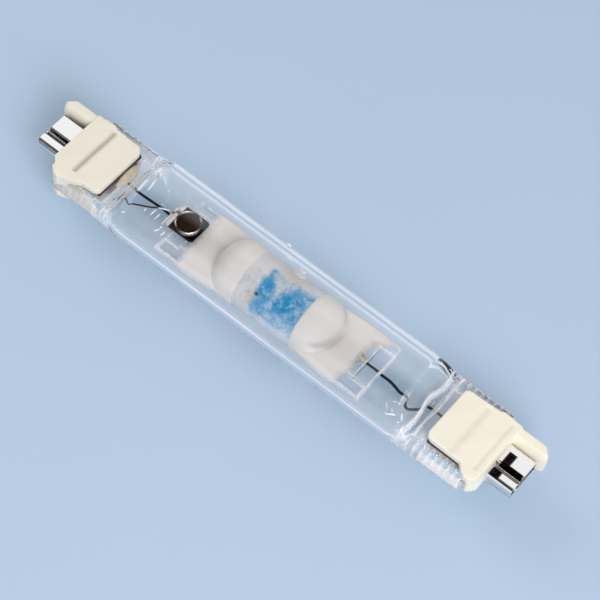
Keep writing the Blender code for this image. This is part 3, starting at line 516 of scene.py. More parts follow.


# The slivers are white as painted glints; the scar is a low bead.
marks = piece("painted_glints_and_scar", [rings_to_shell(glint_sliver(*mark)) for mark in GLINT_SLIVERS]
              + [rings_to_shell(ellipsoid(SCAR_PLACE, SCAR_SIZE))], quartz,
              paint={"milk_and_glint": lambda where: np.full(len(where), 1.2)})


# Arc tube
# The inner quartz bulb that holds the discharge, blown from thinner tube and pinched flat at both
# ends. Evaporated metal and salts have left a mottled haze on its middle, with a few stains.
BULB_RADIUS = 8.4 * MM
BULB_WALL = 1.2 * MM
BULB_STRAIGHT = 12.0 * MM
DOME_REACH = (7.0 * MM, 7.7 * MM)
BORE_REACH = 6.6 * MM
PINCH_END = 33.9 * MM
PINCH_HALF_WIDTH = 9.75 * MM
PINCH_HALF = 1.6 * MM
PINCH_EDGE = 1.4 * MM
RECESS_START = 28.9 * MM
RECESS_HALF = 5.8 * MM
RECESS_DEPTH = 0.6 * MM
END_WAVE = 0.3 * MM
FILLET = 1.8 * MM


def bulb_skin(x, t, grow):
    """Bulb and pinches, grown outwards by grow: the higher of a round-ended bulb and a flat plate.

    Both are half heights over the plane z = 0, and y = half width * cos t. Where the heights a and
    b differ by less than f, the fillet, (f - |a - b|)^2 / 4f is added.
    """
    distance = np.abs(x)
    reach = np.where(x < 0, DOME_REACH[0], DOME_REACH[1]) + grow
    radius = BULB_RADIUS + grow
    spread = ramp(distance, 7.5 * MM, 23.0 * MM)
    half_width = radius + (PINCH_HALF_WIDTH - BULB_RADIUS) * spread
    y = half_width * np.cos(t)
    over = np.clip(distance - BULB_STRAIGHT, 0, None) / reach
    bulb = radius * np.sqrt(np.clip(1 - (y / half_width) ** 2 - over ** 2, 0, 1))
    recess = RECESS_DEPTH * ramp(distance, RECESS_START, RECESS_START + 0.5 * MM)
    recess = recess * (1 - ramp(np.abs(y), RECESS_HALF - 0.3 * MM, RECESS_HALF + 0.3 * MM))
    end = quarter(distance - (PINCH_END - 0.7 * MM), 0.9 * MM)
    plate = (PINCH_HALF + grow - recess) * quarter(np.abs(y) - (half_width - PINCH_EDGE), PINCH_EDGE)
    plate = plate * ramp(distance, 11.0 * MM, 17.0 * MM) * end
    gap = np.clip(FILLET - np.abs(bulb - plate), 0, None) * ramp(distance, 11.0 * MM, 14.0 * MM)
    both = np.minimum(np.maximum(bulb, plate) + gap ** 2 / (4 * FILLET), radius)
    height = np.where(np.abs(np.sin(t)) < 1e-6, 0, np.maximum(both, 0))
    wave = END_WAVE * (np.sin(y / (1.9 * MM)) + 0.6 * np.sin(y / (0.8 * MM) + 1.0)) / 1.6
    along = x + np.sign(x) * wave * ramp(distance, PINCH_END - 2.0 * MM, PINCH_END)
    return np.stack([along, y, height * np.sign(np.round(np.sin(t), 6))], axis=-1)


hazed, tree, place = new_material("hazed_quartz")
# The same fused quartz, its clear middle painted blue, as a blue backdrop seen through it. Its
# attribute says how much milky haze and painted highlight there is, and noise of half to two
# millimetres breaks that into curds of deposit_colour.
curds = node(tree, "TexNoise", {"Vector": place, "Scale": 1 / (1.786 * MM), "Detail": 8.0,
                                "Roughness": 0.78, "Distortion": 0.35})
haze_and_glint = node(tree, "Attribute", attribute_name="haze_and_glint")
broken = node(tree, "Math", {0: curds, 1: 2.5, 2: haze_and_glint.outputs["Fac"]}, operation="MULTIPLY_ADD")
amount = node(tree, "MapRange", {"Value": broken, "From Min": 1.4, "From Max": 2.35, "To Min": 0.0,
                                 "To Max": 0.94})
present = node(tree, "Math", {0: haze_and_glint.outputs["Fac"], 1: 8.0}, operation="MULTIPLY",
               use_clamp=True)
amount = node(tree, "Math", {0: amount, 1: present}, operation="MULTIPLY")
# Painted backdrop blue: the clear middle is tinted and partly veiled in blue.
window = node(tree, "Attribute", attribute_name="window")
seen = node(tree, "Mix", {0: window.outputs["Fac"], 6: linear("#FFFFFF"), 7: linear("#86D9F2")},
            data_type="RGBA")
clear = node(tree, "BsdfPrincipled", {"Base Color": seen.outputs[2], "Roughness": 0.0,
                                      "IOR": QUARTZ_IOR, "Transmission Weight": 1.0})
backdrop_blue = node(tree, "Mix", {0: curds, 6: linear("#0A80B8"), 7: linear("#34A8DA")}, data_type="RGBA")
backdrop_blue = node(tree, "BsdfPrincipled", {"Base Color": backdrop_blue.outputs[2], "Roughness": 0.5,
                                      "Specular IOR Level": 0.0})
veiled = node(tree, "Math", {0: window.outputs["Fac"], 1: 0.6}, operation="MULTIPLY")
clear = node(tree, "MixShader", {0: veiled, 1: clear, 2: backdrop_blue})
colour = node(tree, "Attribute", attribute_name="deposit_colour")
film = node(tree, "BsdfPrincipled", {"Base Color": colour.outputs["Color"], "Roughness": 0.7})
milky_glass(tree, clear, film, amount)


def bulb_place(where):
    """A point on the bulb as x in mm, how far up it is in the picture and how far it faces front.

    The last two run from -1 to 1: y and z turned by the camera's tilt, whose cosine and sine are
    LEVEL_UP's.
    """
    cosine, sine = LEVEL_UP[1:].round(3)
    y, z = where[:, 1] / BULB_RADIUS, where[:, 2] / BULB_RADIUS
    return where[:, 0] / MM, cosine * y + sine * z, cosine * z - sine * y


def spot(x, up, at_x, at_up, wide, high):
    """A soft round patch on the bulb: a bump along x times a bump upwards."""
    return bump(x - at_x, wide) * bump(up - at_up, high)


def haze_and_edge_glints(where):
    """Share of milky haze over the bulb's middle, and of painted highlights on the pinches' edges.

    The haze is dense along the bulb's upper and lower sides, by the left coat and in a wedge that
    hangs from the exhaust tip, and sparse in the two clear patches between.
    """
    x, up, front = bulb_place(where)
    middle = 1 - ramp(np.abs(x), 13.0, 15.0)
    wedge = ramp(up - 0.03 - np.abs(x - 1.35) / 6.8, -0.22, 0.22)
    haze = 0.22 + 0.55 * wedge + 0.80 * ramp(up, 0.56, 0.82) + 0.75 * ramp(-up, 0.68, 0.86)
    haze = haze + 0.22 * ramp(-up, 0.40, 0.62) * ramp(x, 0.0, 2.5) + 0.12 * ramp(x, 5.0, 7.0)
    haze = haze + 0.20 * bump(x - 1.3, 0.9) + 0.85 * (1 - ramp(x, -4.6, -2.9))
    haze = haze + 0.9 * spot(x, up, -3.05, -0.27, 0.6, 0.08)
    haze = haze + 0.4 * spot(x, up, -3.6, -0.6, 0.6, 0.07)
    haze = haze * np.where(front > -0.15, 1.0, 0.35)
    # Painted highlights: white lines on the pinches' ends, recess lips and steps and rails' edges.
    distance, y = np.abs(where[:, 0]), np.abs(where[:, 1])
    end = ramp(distance, PINCH_END - 0.75 * MM, PINCH_END - 0.35 * MM)
    lip = bump(y - RECESS_HALF, 0.3 * MM) * ramp(distance, 27.0 * MM, 28.0 * MM)
    step = bump(distance - RECESS_START - 0.25 * MM, 0.22 * MM) * (y < RECESS_HALF)
    rail = 0.8 * ramp(y, 8.9 * MM, 9.5 * MM) * ramp(distance, 22.0 * MM, 24.0 * MM)
    line = np.maximum(np.maximum(end, rail), 0.9 * np.maximum(lip, 0.8 * step))
    return np.maximum(haze * middle, 1.25 * line)


def deposit_tint(where):
    """Milk white, tan under the exhaust tip, pinkish grey by the left coat, and the stains."""
    x, up, front = bulb_place(where)
    milk_and_glint, tan, grey, stain, soot, smear = (np.array(linear(c)[:3]) for c in (
        "#DADCE6", "#CAC1B6", "#DAD3D2", "#C6B48E", "#2A1E1A", "#8C7C6A"))
    shares = ((tan, 0.95 * spot(x, up, 1.8, 0.85, 6.0, 0.75)), (grey, 1 - ramp(x, -5.0, -3.0)),
              (stain, 0.8 * spot(x, up, -4.5, -0.45, 1.2, 0.16)),
              (smear, 0.8 * spot(x, up, -3.6, -0.6, 0.55, 0.06)),
              (soot, np.clip(1.8 * spot(x, up, -3.05, -0.27, 0.65, 0.065), 0, 1)))
    colour = np.broadcast_to(milk_and_glint, (len(x), 3))
    for tone, share in shares:
        share = (share * (np.abs(x) < 14) * (front > 0))[:, None]
        colour = colour * (1 - share) + tone * share
    return colour


def window_share(where):
    """1 on the bulb's clear middle, 0 elsewhere."""
    return 1 - ramp(np.abs(where[:, 0]), 10.5 * MM, 13.0 * MM)


half = np.concatenate([np.linspace(0, 11, 34), np.linspace(11.3, 22.5, 60),
                       np.linspace(23, 28.7, 12), np.linspace(28.85, 29.6, 10),
                       np.linspace(30, 33.0, 10), np.linspace(33.1, 33.9, 12)]) * MM
stations = np.concatenate([-half[:0:-1], half])[:, None]
skin = bulb_skin(stations, around(200), 0.0)
bore = BULB_RADIUS - BULB_WALL
start = BULB_STRAIGHT - BULB_WALL
over = np.sin(np.linspace(0, 0.98 * math.pi / 2, 24))
half = np.concatenate([np.linspace(0, start, 8), start + BORE_REACH * over[1:]])
shrink = np.concatenate([np.zeros(8), over[1:]])
rows = np.concatenate([-half[:0:-1], half])[:, None]
shrink = np.concatenate([shrink[:0:-1], shrink])[:, None]
t = around(96)
space = np.stack([rows + 0 * t, bore * np.sqrt(1 - shrink ** 4) * np.cos(t),
                  bore * np.sqrt(1 - shrink ** 2) * np.sin(t)], axis=-1)
TIP_PLACE = (1.8 * MM, math.radians(40))
TIP_SUNK = 0.15 * MM
TIP_PROFILE = np.array(((0.0, 1.75), (0.5, 1.7), (1.0, 1.45), (1.05, 1.0), (1.55, 0.5), (2.3, 0.0),
                        (2.5, -1.0))) * MM
tip_t = around(40)
tip_radius, tip_height = TIP_PROFILE[::-1, :1], TIP_PROFILE[::-1, 1:]
tip_up = np.array((0.0, math.cos(TIP_PLACE[1]), math.sin(TIP_PLACE[1])))
tip_side = np.array((0.0, -tip_up[2], tip_up[1]))
tip = (np.array((TIP_PLACE[0], 0, 0)) + (BULB_RADIUS - TIP_SUNK + tip_height[..., None]) * tip_up
       + (tip_radius * np.cos(tip_t))[..., None] * np.array((1.0, 0, 0))
       + (tip_radius * np.sin(tip_t))[..., None] * tip_side)
arc_tube = piece("arc_tube_quartz", [rings_to_shell(skin)], hazed,
                 cavities=[rings_to_shell(space)],
                 paint={"haze_and_glint": haze_and_edge_glints, "deposit_colour": deposit_tint,
                        "window": window_share})
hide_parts("arc_tube")
tip_piece = piece("exhaust_tip", [rings_to_shell(tip)], quartz, paint={
    "milk_and_glint": lambda where: np.full(len(where), 0.5)})


# Heat-reflecting coats
# A zirconia wash brushed on both ends of the arc tube and fired. It is matt, warm white and a
# little uneven, and it thins out raggedly towards the pinch ends.
def stained(tree, colour, attribute, tone):
    """The colour, turned towards tone by a painted attribute."""
    share = node(tree, "Attribute", attribute_name=attribute).outputs["Fac"]
    return node(tree, "Mix", {0: share, 6: colour, 7: linear(tone)}, data_type="RGBA").outputs[2]


coat, tree, place = new_material("zirconia_wash")
# Brush strokes leave blotches of some millimetres, and the grains of zirconia are drawn coarser than
# they are, two thirds of a millimetre, so that they show.
# The domes' feet are painted a darker grey as shade, heavier at the right dome's lower side.
colour = stained(tree, speckle(tree, place, 6.667, "#DDD6D1", "#E9E3DE")[1], "painted_dome_shade", "#B4B0AF")
grain = node(tree, "TexNoise", {"Vector": place, "Scale": 1 / (0.6667 * MM), "Detail": 3.0})
relief = node(tree, "Bump", {"Height": grain, "Distance": 0.05 * MM, "Strength": 0.4})
reach = node(tree, "Attribute", attribute_name="brushed")
rag = node(tree, "TexNoise", {"Vector": place, "Scale": 1 / (2.0 * MM), "Detail": 4.0})
ragged = node(tree, "Math", {0: rag, 1: 2.5 * MM, 2: reach.outputs["Fac"]},
              operation="MULTIPLY_ADD")
cover = node(tree, "MapRange", {"Value": ragged, "From Min": 26.6 * MM, "From Max": 29.0 * MM,
                                "To Min": 1.0, "To Max": 0.0})
feather = node(tree, "Attribute", attribute_name="feather")
cover = node(tree, "Math", {0: cover, 1: feather.outputs["Fac"]}, operation="MULTIPLY")
matt = node(tree, "BsdfPrincipled", {"Base Color": colour, "Roughness": 0.85,
                                     "Specular IOR Level": 0.25, "Alpha": cover, "Normal": relief})
# Light falls through the wash where it is thin, so its feathered edges aren't outlined in shadow.
lighting = either_ray(tree, "Is Shadow Ray", "Is Diffuse Ray")
sparse = node(tree, "Math", {0: cover, 1: 0.98}, operation="LESS_THAN")
through = node(tree, "Math", {0: lighting, 1: sparse}, operation="MULTIPLY")
surface = node(tree, "MixShader", {0: through, 1: matt, 2: node(tree, "BsdfTransparent")})
node(tree, "OutputMaterial", {"Surface": surface})


def brushed(where):
    """How far out a point is for the brush, in metres: |x|, less along the right upper rail and more
    towards the lower rails."""
    x, y = where[:, 0], where[:, 1]
    along_rail = ramp(y, 5.6 * MM, 7.0 * MM) * (x > 0)
    return np.abs(x) - 3.4 * MM * along_rail + 0.8 * MM * ramp(-y, 5.0 * MM, 7.0 * MM)


def painted_fillet_shade(where):
    """1 along the foot of each dome: painted shade, darker at its lower right."""
    x, y, z = where.T
    reach = np.where(x < 0, DOME_REACH[0], DOME_REACH[1])
    foot = BULB_STRAIGHT + reach * np.sqrt(np.clip(0.95 - (y / BULB_RADIUS) ** 2, 0, 1))
    line = bump(np.abs(x) - foot - 0.3 * MM, 0.8 * MM)
    heavy = np.where(x > 0, 0.35 + 0.45 * ramp(-y, -2.5 * MM, 2.5 * MM), 0.2)
    return line * heavy * (z > 0) * (1 - ramp(np.abs(y), 6.3 * MM, 8.2 * MM))


def brush_start(where):
    """0 at the wash's inner edge and 1 from 0.7 mm on, so that the edge is feathered."""
    distance = np.abs(where[:, 0])
    start = np.where(where[:, 0] < 0, COAT_START[0], COAT_START[1])
    return ramp(distance, start, start + 0.7 * MM)


COAT_START = (8.5 * MM, 10.0 * MM)
COAT_END = 31.6 * MM
# Heights over the quartz of the coat's inner skin, and of its outer skin at the edge and beyond.
COAT_GAP = 0.05 * MM
COAT_EDGE = 0.07 * MM
COAT_BODY = 0.25 * MM
COAT_POINTS = 160
SIDES = ((-1, "left"), (1, "right"))
for side, label in SIDES:
    coat_start = COAT_START[side > 0]
    along = np.concatenate([np.linspace(coat_start, 22.5 * MM, 90),
                            np.linspace(23 * MM, COAT_END, 20)])
    rows = np.sort(side * along)[:, None]
    grown = COAT_EDGE + (COAT_BODY - COAT_EDGE) * ramp(np.abs(rows) - coat_start, 0, 1.2 * MM)
    outer = bulb_skin(rows, around(COAT_POINTS), grown)
    inner = bulb_skin(rows, around(COAT_POINTS), COAT_GAP)
    loop = np.concatenate([inner, outer[::-1], inner[:1]])
    points, faces = rings_to_shell(loop)
    shell = piece("zirconia_coat_" + label, [(points, faces[:-2])], coat,
                  paint={"brushed": brushed, "painted_dome_shade": painted_fillet_shade, "feather": brush_start})
    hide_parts("reflector_coat_" + label)


# Leads
# Molybdenum rod and wire, drawn and bare, dark blue-black where the flame has oxidised it. The right
# lead is bent into a slack loop between the two pinches, so that heat can't strain the seals.
oxide, tree, place = new_material("oxidised_molybdenum")
# Scale that flakes over a millimetre or two; where the getter's wire is bare, it shines.
flakes, colour = speckle(tree, place, 1.4286, "#0B0F1A", "#2B3040", detail=3.0)
colour = stained(tree, colour, "bare", "#E6E8EC")
dull = node(tree, "MapRange", {"Value": flakes, "To Min": 0.3, "To Max": 0.6})
surface = node(tree, "BsdfPrincipled", {"Base Color": colour, "Metallic": 0.8, "Roughness": dull})
node(tree, "OutputMaterial", {"Surface": surface})


def curve_through(points, steps):
    """Catmull-Rom curve through the points: each span is the cubic of its four nearest points."""
    p = np.asarray(points, float)
    p = np.concatenate([p[:1], p, p[-1:]])
    t = np.linspace(0, 1, steps, endpoint=False)[None, :, None]
    a, b, c, d = (p[i:len(p) - 3 + i, None, :] for i in range(4))
    spans = 0.5 * (2 * b + (c - a) * t + (2 * a - 5 * b + 4 * c - d) * t ** 2
                   + (3 * b - a - 3 * c + d) * t ** 3)
    return np.concatenate([spans.reshape(-1, 3), p[-1:]])


def rod_along(path, radius, count=14, aside=(0, 0, 1)):
    """A round rod: circles of the radius set square to the path's direction, e1 cos t + e2 sin t."""
    ahead = unit(np.gradient(path, axis=0))
    first = unit(np.cross(ahead, np.broadcast_to(np.array(aside, float), path.shape)))
    second = np.cross(ahead, first)
    t = around(count)[..., None]
    return path[:, None, :] + radius * (np.cos(t) * first[:, None, :]
                                        + np.sin(t) * second[:, None, :])


LEAD_RADIUS = 0.4 * MM
LEFT_LEAD = ((-28.2, 0), (-33.9, 0), (-36.0, 0.32), (-38.9, 0.8), (-43.1, 0.72), (-47.1, 0.5),
             (-48.0, 0.5), (-54.7, 0.5))
RIGHT_LEAD = ((28.2, 0), (33.9, 0), (37.0, 0.0), (39.2, -0.45), (40.4, -0.8), (41.5, -1.0),
              (42.2, -2.3), (43.0, -3.35), (44.0, -3.7), (45.0, -3.25), (46.0, -2.43), (46.9, -1.7),
              (47.7, -0.1), (48.5, 0.5), (54.7, 0.5))
for path, label in ((LEFT_LEAD, "left"), (RIGHT_LEAD, "right")):
    points = [(x * MM, y * MM, 0) for x, y in path]
    lead = piece("lead_" + label, [rings_to_shell(rod_along(curve_through(points, 8), LEAD_RADIUS))],
                 oxide)
    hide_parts("burner_lead_" + label)
WIRE = ((-52.0, -6.0, 0.0), (-49.6, -4.7, 0.2), (-47.5, -3.64, 0.35), (-46.3, -3.09, 0.5),
        (-43.0, -1.4, 0.7), (-40.8, 0.0, 0.9), (-38.0, 1.2, 1.0))
WIRE_RADIUS = 0.22 * MM
points = [(x * MM, y * MM, z * MM) for x, y, z in WIRE]
wire = piece("getter_wire", [rings_to_shell(rod_along(curve_through(points, 8), WIRE_RADIUS))], oxide,
             paint={"bare": lambda where: ramp(where[:, 0], -41.6 * MM, -40.2 * MM)})
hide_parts("getter_support_wire")


# Electrodes and sealing foils
# Tungsten rods with a coil at each tip stand in the arc tube, as dark as the leads. Molybdenum foils,
# a few hundredths of a millimetre thick, carry the current through the quartz. Sealed off from the
# air, they stay bright, with creases some millimetres apart.
bright_foil, tree, place = new_material("bright_molybdenum_foil")
colour = speckle(tree, place, 2.5, "#A9ABB2", "#D4D6DC", detail=3.0)[1]
surface = node(tree, "BsdfPrincipled", {"Base Color": colour, "Metallic": 1.0, "Roughness": 0.35})
node(tree, "OutputMaterial", {"Surface": surface})
for label in ("left", "right"):
    for part, metal in (("electrode_", oxide), ("electrode_coil_", oxide), ("contact_lead_", oxide),
                        ("burner_foil_", bright_foil), ("press_foil_", bright_foil)):
        nodes[part + label].data.materials.clear()
        nodes[part + label].data.materials.append(metal)


# Sealing flux
# A bead of tan flux, baked on the right lead's root where it leaves the arc tube. It is matt, with
# crumbs of two thirds of a millimetre.
flux, tree, place = new_material("sealing_flux")
colour = speckle(tree, place, 0.6667, "#A8926C", "#D6C9AC")[1]
surface = node(tree, "BsdfPrincipled", {"Base Color": colour, "Roughness": 0.7})
node(tree, "OutputMaterial", {"Surface": surface})
FLUX_PLACE = (28.0 * MM, 0.1 * MM, 0.5 * MM)
FLUX_SIZE = (1.3 * MM, 0.85 * MM, 0.75 * MM)
bead = piece("flux_bead", [rings_to_shell(ellipsoid(FLUX_PLACE, FLUX_SIZE))], flux)


# Getter
# A small pressed-steel cup on a folded sheet carrier, whose tab is welded to the getter's wire. The
# cup holds a dark pressed powder that soaks up stray gas, and its rim carries painted highlights.
steel, tree, place = new_material("heat_tinted_steel")
# Steel sheet that heat has blackened unevenly, over two millimetres and more: dull, but painted
# bright as highlights on the cup's lip and the carrier's bent side, and a little along its cut edges.
colour = speckle(tree, place, 2.222, "#040303", "#120E0C")[1]
# A painted highlight runs along the carrier's bent outer side, dimmer across it near y = 1.2 mm.
along = node(tree, "SeparateXYZ", {0: place})
bend_highlight = node(tree, "MapRange", {"Value": along.outputs["X"], "From Min": -34.75 * MM,
                               "From Max": -34.45 * MM, "To Min": 0.8, "To Max": 0.0})
aside = node(tree, "Math", {0: along.outputs["Y"], 1: 1.2 * MM}, operation="SUBTRACT")
aside = node(tree, "Math", {0: aside}, operation="ABSOLUTE")
clean = node(tree, "MapRange", {"Value": aside, "From Min": 0.2 * MM, "From Max": 0.9 * MM,
                                "To Min": 0.3, "To Max": 1.0})
bend_highlight = node(tree, "Math", {0: bend_highlight, 1: clean}, operation="MULTIPLY")
wear_and_highlight = node(tree, "Attribute", attribute_name="wear_and_highlight")
wear_and_highlight = node(tree, "Math", {0: wear_and_highlight.outputs["Fac"], 1: bend_highlight}, operation="MAXIMUM")
# Where the highlights are painted, the steel turns pale and metallic.
colour = node(tree, "Mix", {0: wear_and_highlight, 6: colour, 7: linear("#EFE6E2")}, data_type="RGBA")
rub = node(tree, "MapRange", {"Value": wear_and_highlight, "To Min": 0.42, "To Max": 0.2})
surface = node(tree, "BsdfPrincipled", {"Base Color": colour.outputs[2], "Metallic": wear_and_highlight,
                                        "Roughness": rub, "Specular IOR Level": 0.08})
node(tree, "OutputMaterial", {"Surface": surface})
powder, tree, place = new_material("pressed_getter_powder")
# Dark brown and quite matt, with crumbs drawn half a millimetre wide so that they show.
crumb, colour = speckle(tree, place, 0.5556, "#0B0503", "#3C271B")
relief = node(tree, "Bump", {"Height": crumb, "Distance": 0.1 * MM, "Strength": 0.6})
surface = node(tree, "BsdfPrincipled", {"Base Color": colour, "Roughness": 0.8,
                                        "Specular IOR Level": 0.05, "Normal": relief})
node(tree, "OutputMaterial", {"Surface": surface})

GETTER_X = -31.1 * MM
CUP_PLACE = (-30.6 * MM, -0.45 * MM)
GETTER_SHEET = 0.38 * MM
CARRIER_TOP = 3.2 * MM
CARRIER_HALF = (4.5 * MM, 4.05 * MM)
CARRIER_CORNER = 1.0 * MM
CARRIER_BEVEL = 0.12 * MM
TAB_HALF = 3.5 * MM
TAB_PATH = ((-35.3, 3.0), (-35.75, 2.8), (-36.1, 2.2), (-36.35, 1.5), (-36.7, 1.1), (-37.3, 1.0))
CUP_PROFILE = np.array(((0, 3.3), (3.2, 3.3), (3.55, 3.4), (3.55, 3.7), (3.55, 4.6), (3.6, 4.8),
                        (3.56, 4.98), (3.44, 5.07), (3.3, 5.05), (3.18, 4.92), (3.12, 4.7),
                        (3.1, 4.4), (2.9, 4.2), (0, 4.2))) * MM


def turned(profile, centre, count=96):
    """A body turned about an upright axis at centre: radius and height pairs swept round it."""
    radius, height = np.asarray(profile, float).T
    t = around(count)
    return np.stack([centre[0] + radius[:, None] * np.cos(t), centre[1] + radius[:, None] * np.sin(t),
                     height[:, None] + 0 * t], axis=-1)


def painted_rim_highlights(where):
    """Painted highlights on the cup's lip: bumps of angle round the cup, in degrees."""
    x, y, z = where.T
    radius = np.hypot(x - CUP_PLACE[0], y - CUP_PLACE[1])
    angle = np.degrees(np.arctan2(y - CUP_PLACE[1], x - CUP_PLACE[0]))
    lip = ramp(radius, 3.05 * MM, 3.2 * MM) * ramp(z, 4.35 * MM, 4.6 * MM)
    bright = np.zeros(len(x))
    for centre, wide, much in ((140, 30, 0.75), (55, 12, 0.8), (-42, 34, 1.0), (-140, 16, 0.9)):
        off = (angle - centre + 180) % 360 - 180
        bright = np.maximum(bright, much * bump(off, wide))
    return lip * np.maximum(bright, 0.05)


def carrier_wear(where):
    """How bright the carrier is: heat-blackened, but for a little along its long cut edges."""
    return 0.2 * ramp(np.abs(where[:, 1]), CARRIER_HALF[1] - 0.15 * MM, CARRIER_HALF[1])


corner = np.linspace(0, math.pi / 2, 8)
turns = np.concatenate([corner + quarter_turn * math.pi / 2 for quarter_turn in range(4)])
signs = np.repeat(np.array(((1, 1), (-1, 1), (-1, -1), (1, -1))), 8, axis=0)
outline = signs * (np.array(CARRIER_HALF) - CARRIER_CORNER) + CARRIER_CORNER * np.column_stack(
    [np.cos(turns), np.sin(turns)])
layers = ((CARRIER_TOP - GETTER_SHEET, CARRIER_BEVEL),
          (CARRIER_TOP - GETTER_SHEET + CARRIER_BEVEL, 0.0),
          (CARRIER_TOP - CARRIER_BEVEL, 0.0), (CARRIER_TOP, CARRIER_BEVEL))
rings = np.stack([np.column_stack([outline[:, 0] * (1 - inset / CARRIER_HALF[0]) + GETTER_X,
                                   outline[:, 1] * (1 - inset / CARRIER_HALF[1]),
                                   np.full(len(outline), z)]) for z, inset in layers])
tab = curve_through([(x * MM, 0, z * MM) for x, z in TAB_PATH], 6)
ahead = unit(np.gradient(tab, axis=0))
across = np.stack([-ahead[:, 2], 0 * ahead[:, 1], ahead[:, 0]], axis=1) * GETTER_SHEET / 2
wide = np.array((0, TAB_HALF, 0))
tab_rings = np.stack([tab + wide + across, tab + wide - across, tab - wide - across,
                      tab - wide + across], axis=1)
carrier = piece("getter_carrier", [rings_to_shell(rings)], steel, paint={"wear_and_highlight": carrier_wear})
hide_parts("getter_plate")
tab_piece = piece("getter_carrier_tab", [rings_to_shell(tab_rings)], steel,
                  paint={"wear_and_highlight": lambda where: 0.0 * where[:, 0]})
cup = piece("getter_cup_pressed", [rings_to_shell(turned(CUP_PROFILE, CUP_PLACE))], steel,
            paint={"wear_and_highlight": painted_rim_highlights})
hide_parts("getter_cup")
# The powder in mm: the press left fine rings in it, and it slopes a little towards the cup's wall.
POWDER_RADIUS, POWDER_TOP, POWDER_BOTTOM = 3.05, 4.6, 4.25
RING_PITCH, RING_HEIGHT = 0.75, 0.05
radii = np.linspace(0, POWDER_RADIUS, 60)
ridges = np.column_stack([radii, POWDER_TOP + RING_HEIGHT * np.cos(2 * math.pi * radii / RING_PITCH)
                          - 0.2 * np.clip(radii - 2.7, 0, None)]) * MM
under = np.array(((POWDER_RADIUS, POWDER_BOTTOM), (0, POWDER_BOTTOM))) * MM
filling = turned(np.concatenate([ridges, under]), CUP_PLACE)
filling = piece("getter_filling", [rings_to_shell(filling)], powder)
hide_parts("getter_fill")


# Ceramic caps
# Steatite, pressed from powder and fired: matt cream, with soft mould edges and slightly uneven
# faces. Each cap is a pair of jaws cemented over the press, a flange, a neck and a finger that
# locates the lamp.
ceramic, tree, place = new_material("fired_steatite")
# The right cap is painted lighter than the left as painted light, and the firing left a slow drift in
# both.
lit_and_shaded_tones = [speckle(tree, place, 8.333, dark, light, detail=3.0)[1]
           for dark, light in (("#EDE5D4", "#F3ECDD"), ("#F4ECD8", "#F9F2E0"))]
painted_lighter_cap = node(tree, "Attribute", attribute_name="painted_lighter_cap")
colour = node(tree, "Mix", {0: painted_lighter_cap.outputs["Fac"], 6: lit_and_shaded_tones[0], 7: lit_and_shaded_tones[1]},
              data_type="RGBA")
# Painted shade darkens the grooves, most of all in the left cap's groove.
colour = stained(tree, colour.outputs[2], "painted_crevice_shade", "#A08E78")
grain = node(tree, "TexNoise", {"Vector": place, "Scale": 1 / (0.7143 * MM), "Detail": 4.0})
relief = node(tree, "Bump", {"Height": grain, "Distance": 0.04 * MM, "Strength": 0.5})
surface = node(tree, "BsdfPrincipled", {"Base Color": colour, "Roughness": 0.6,
                                        "Specular IOR Level": 0.4, "Normal": relief})
node(tree, "OutputMaterial", {"Surface": surface})

SLOT_HALF = 2.9 * MM
JAW_TOP = 4.9 * MM
NECK_TOP = 4.8 * MM
LIP_BOTTOM = 1.0 * MM
FOOT_BOTTOM = -4.4 * MM
GLASS_TOP = 2.6 * MM
VOXEL = 0.2 * MM
# Outlines, x and y in mm for the right end, of the jaws, what hangs below them, neck and grooves.
JAW = ((64.3, 9.5), (65.2, 10.1), (68.3, 10.1), (69.4, 9.6))
JAW_REST = {"left": ((69.4, -10.8), (67.4, -12.0), (66.3, -12.5), (64.6, -11.9), (61.9, -11.0),
                     (59.8, -9.8), (56.2, -9.5), (55.0, -9.0), (54.6, -8.0), (54.7, 7.4), (55.5, 8.8),
                     (56.6, 9.25)),
            "right": ((69.4, -8.9), (65.0, -8.8), (55.7, -8.6), (54.5, -8.1), (54.0, -7.0),
                      (54.0, 8.2), (54.6, 9.0), (55.6, 9.25))}
LEFT_LIP = ((69.4, -9.5), (69.4, -10.8), (67.4, -12.2), (66.3, -12.7), (65.4, -12.2), (63.6, -11.4),
            (62.4, -9.5))
RIGHT_LIP = ((71.1, -7.5), (71.1, -9.0), (70.8, -10.4), (69.4, -11.6), (67.9, -11.5), (66.5, -10.5),
             (64.6, -8.4), (64.6, -7.5))
RIGHT_FOOT = ((71.1, -7.5), (70.6, -8.9), (69.3, -10.1), (68.5, -10.1), (68.5, -7.5))
NECK = ((69.0, -10.0), (71.1, -7.9), (71.1, 9.8), (69.0, 9.8))
FINGER_FLAT = 1.6 * MM
FINGER_CROWN = 2.95 * MM
FINGER_INSET = 1.3
FINGER_TOPS = (1.6, 2.3, 2.8, 3.2, 3.55, 3.85, 4.1, 4.3, 4.42)
# Each groove: x, width and depth in mm, and how dark its painted shade is.
GROOVES = {"left": ((63.9, 0.75, 0.42, 0.72),),
           "right": ((61.5, 1.0, 0.22, 0.16), (69.0, 0.55, 0.15, 0.22))}


def prism(outline, low_z, high_z):
    """An outline in the XY plane, in mm, raised from low_z to high_z."""
    flat = np.asarray(outline, float) * MM
    return rings_to_shell(np.stack([np.column_stack([flat, np.full(len(flat), z)])
                                    for z in (low_z, high_z)]))


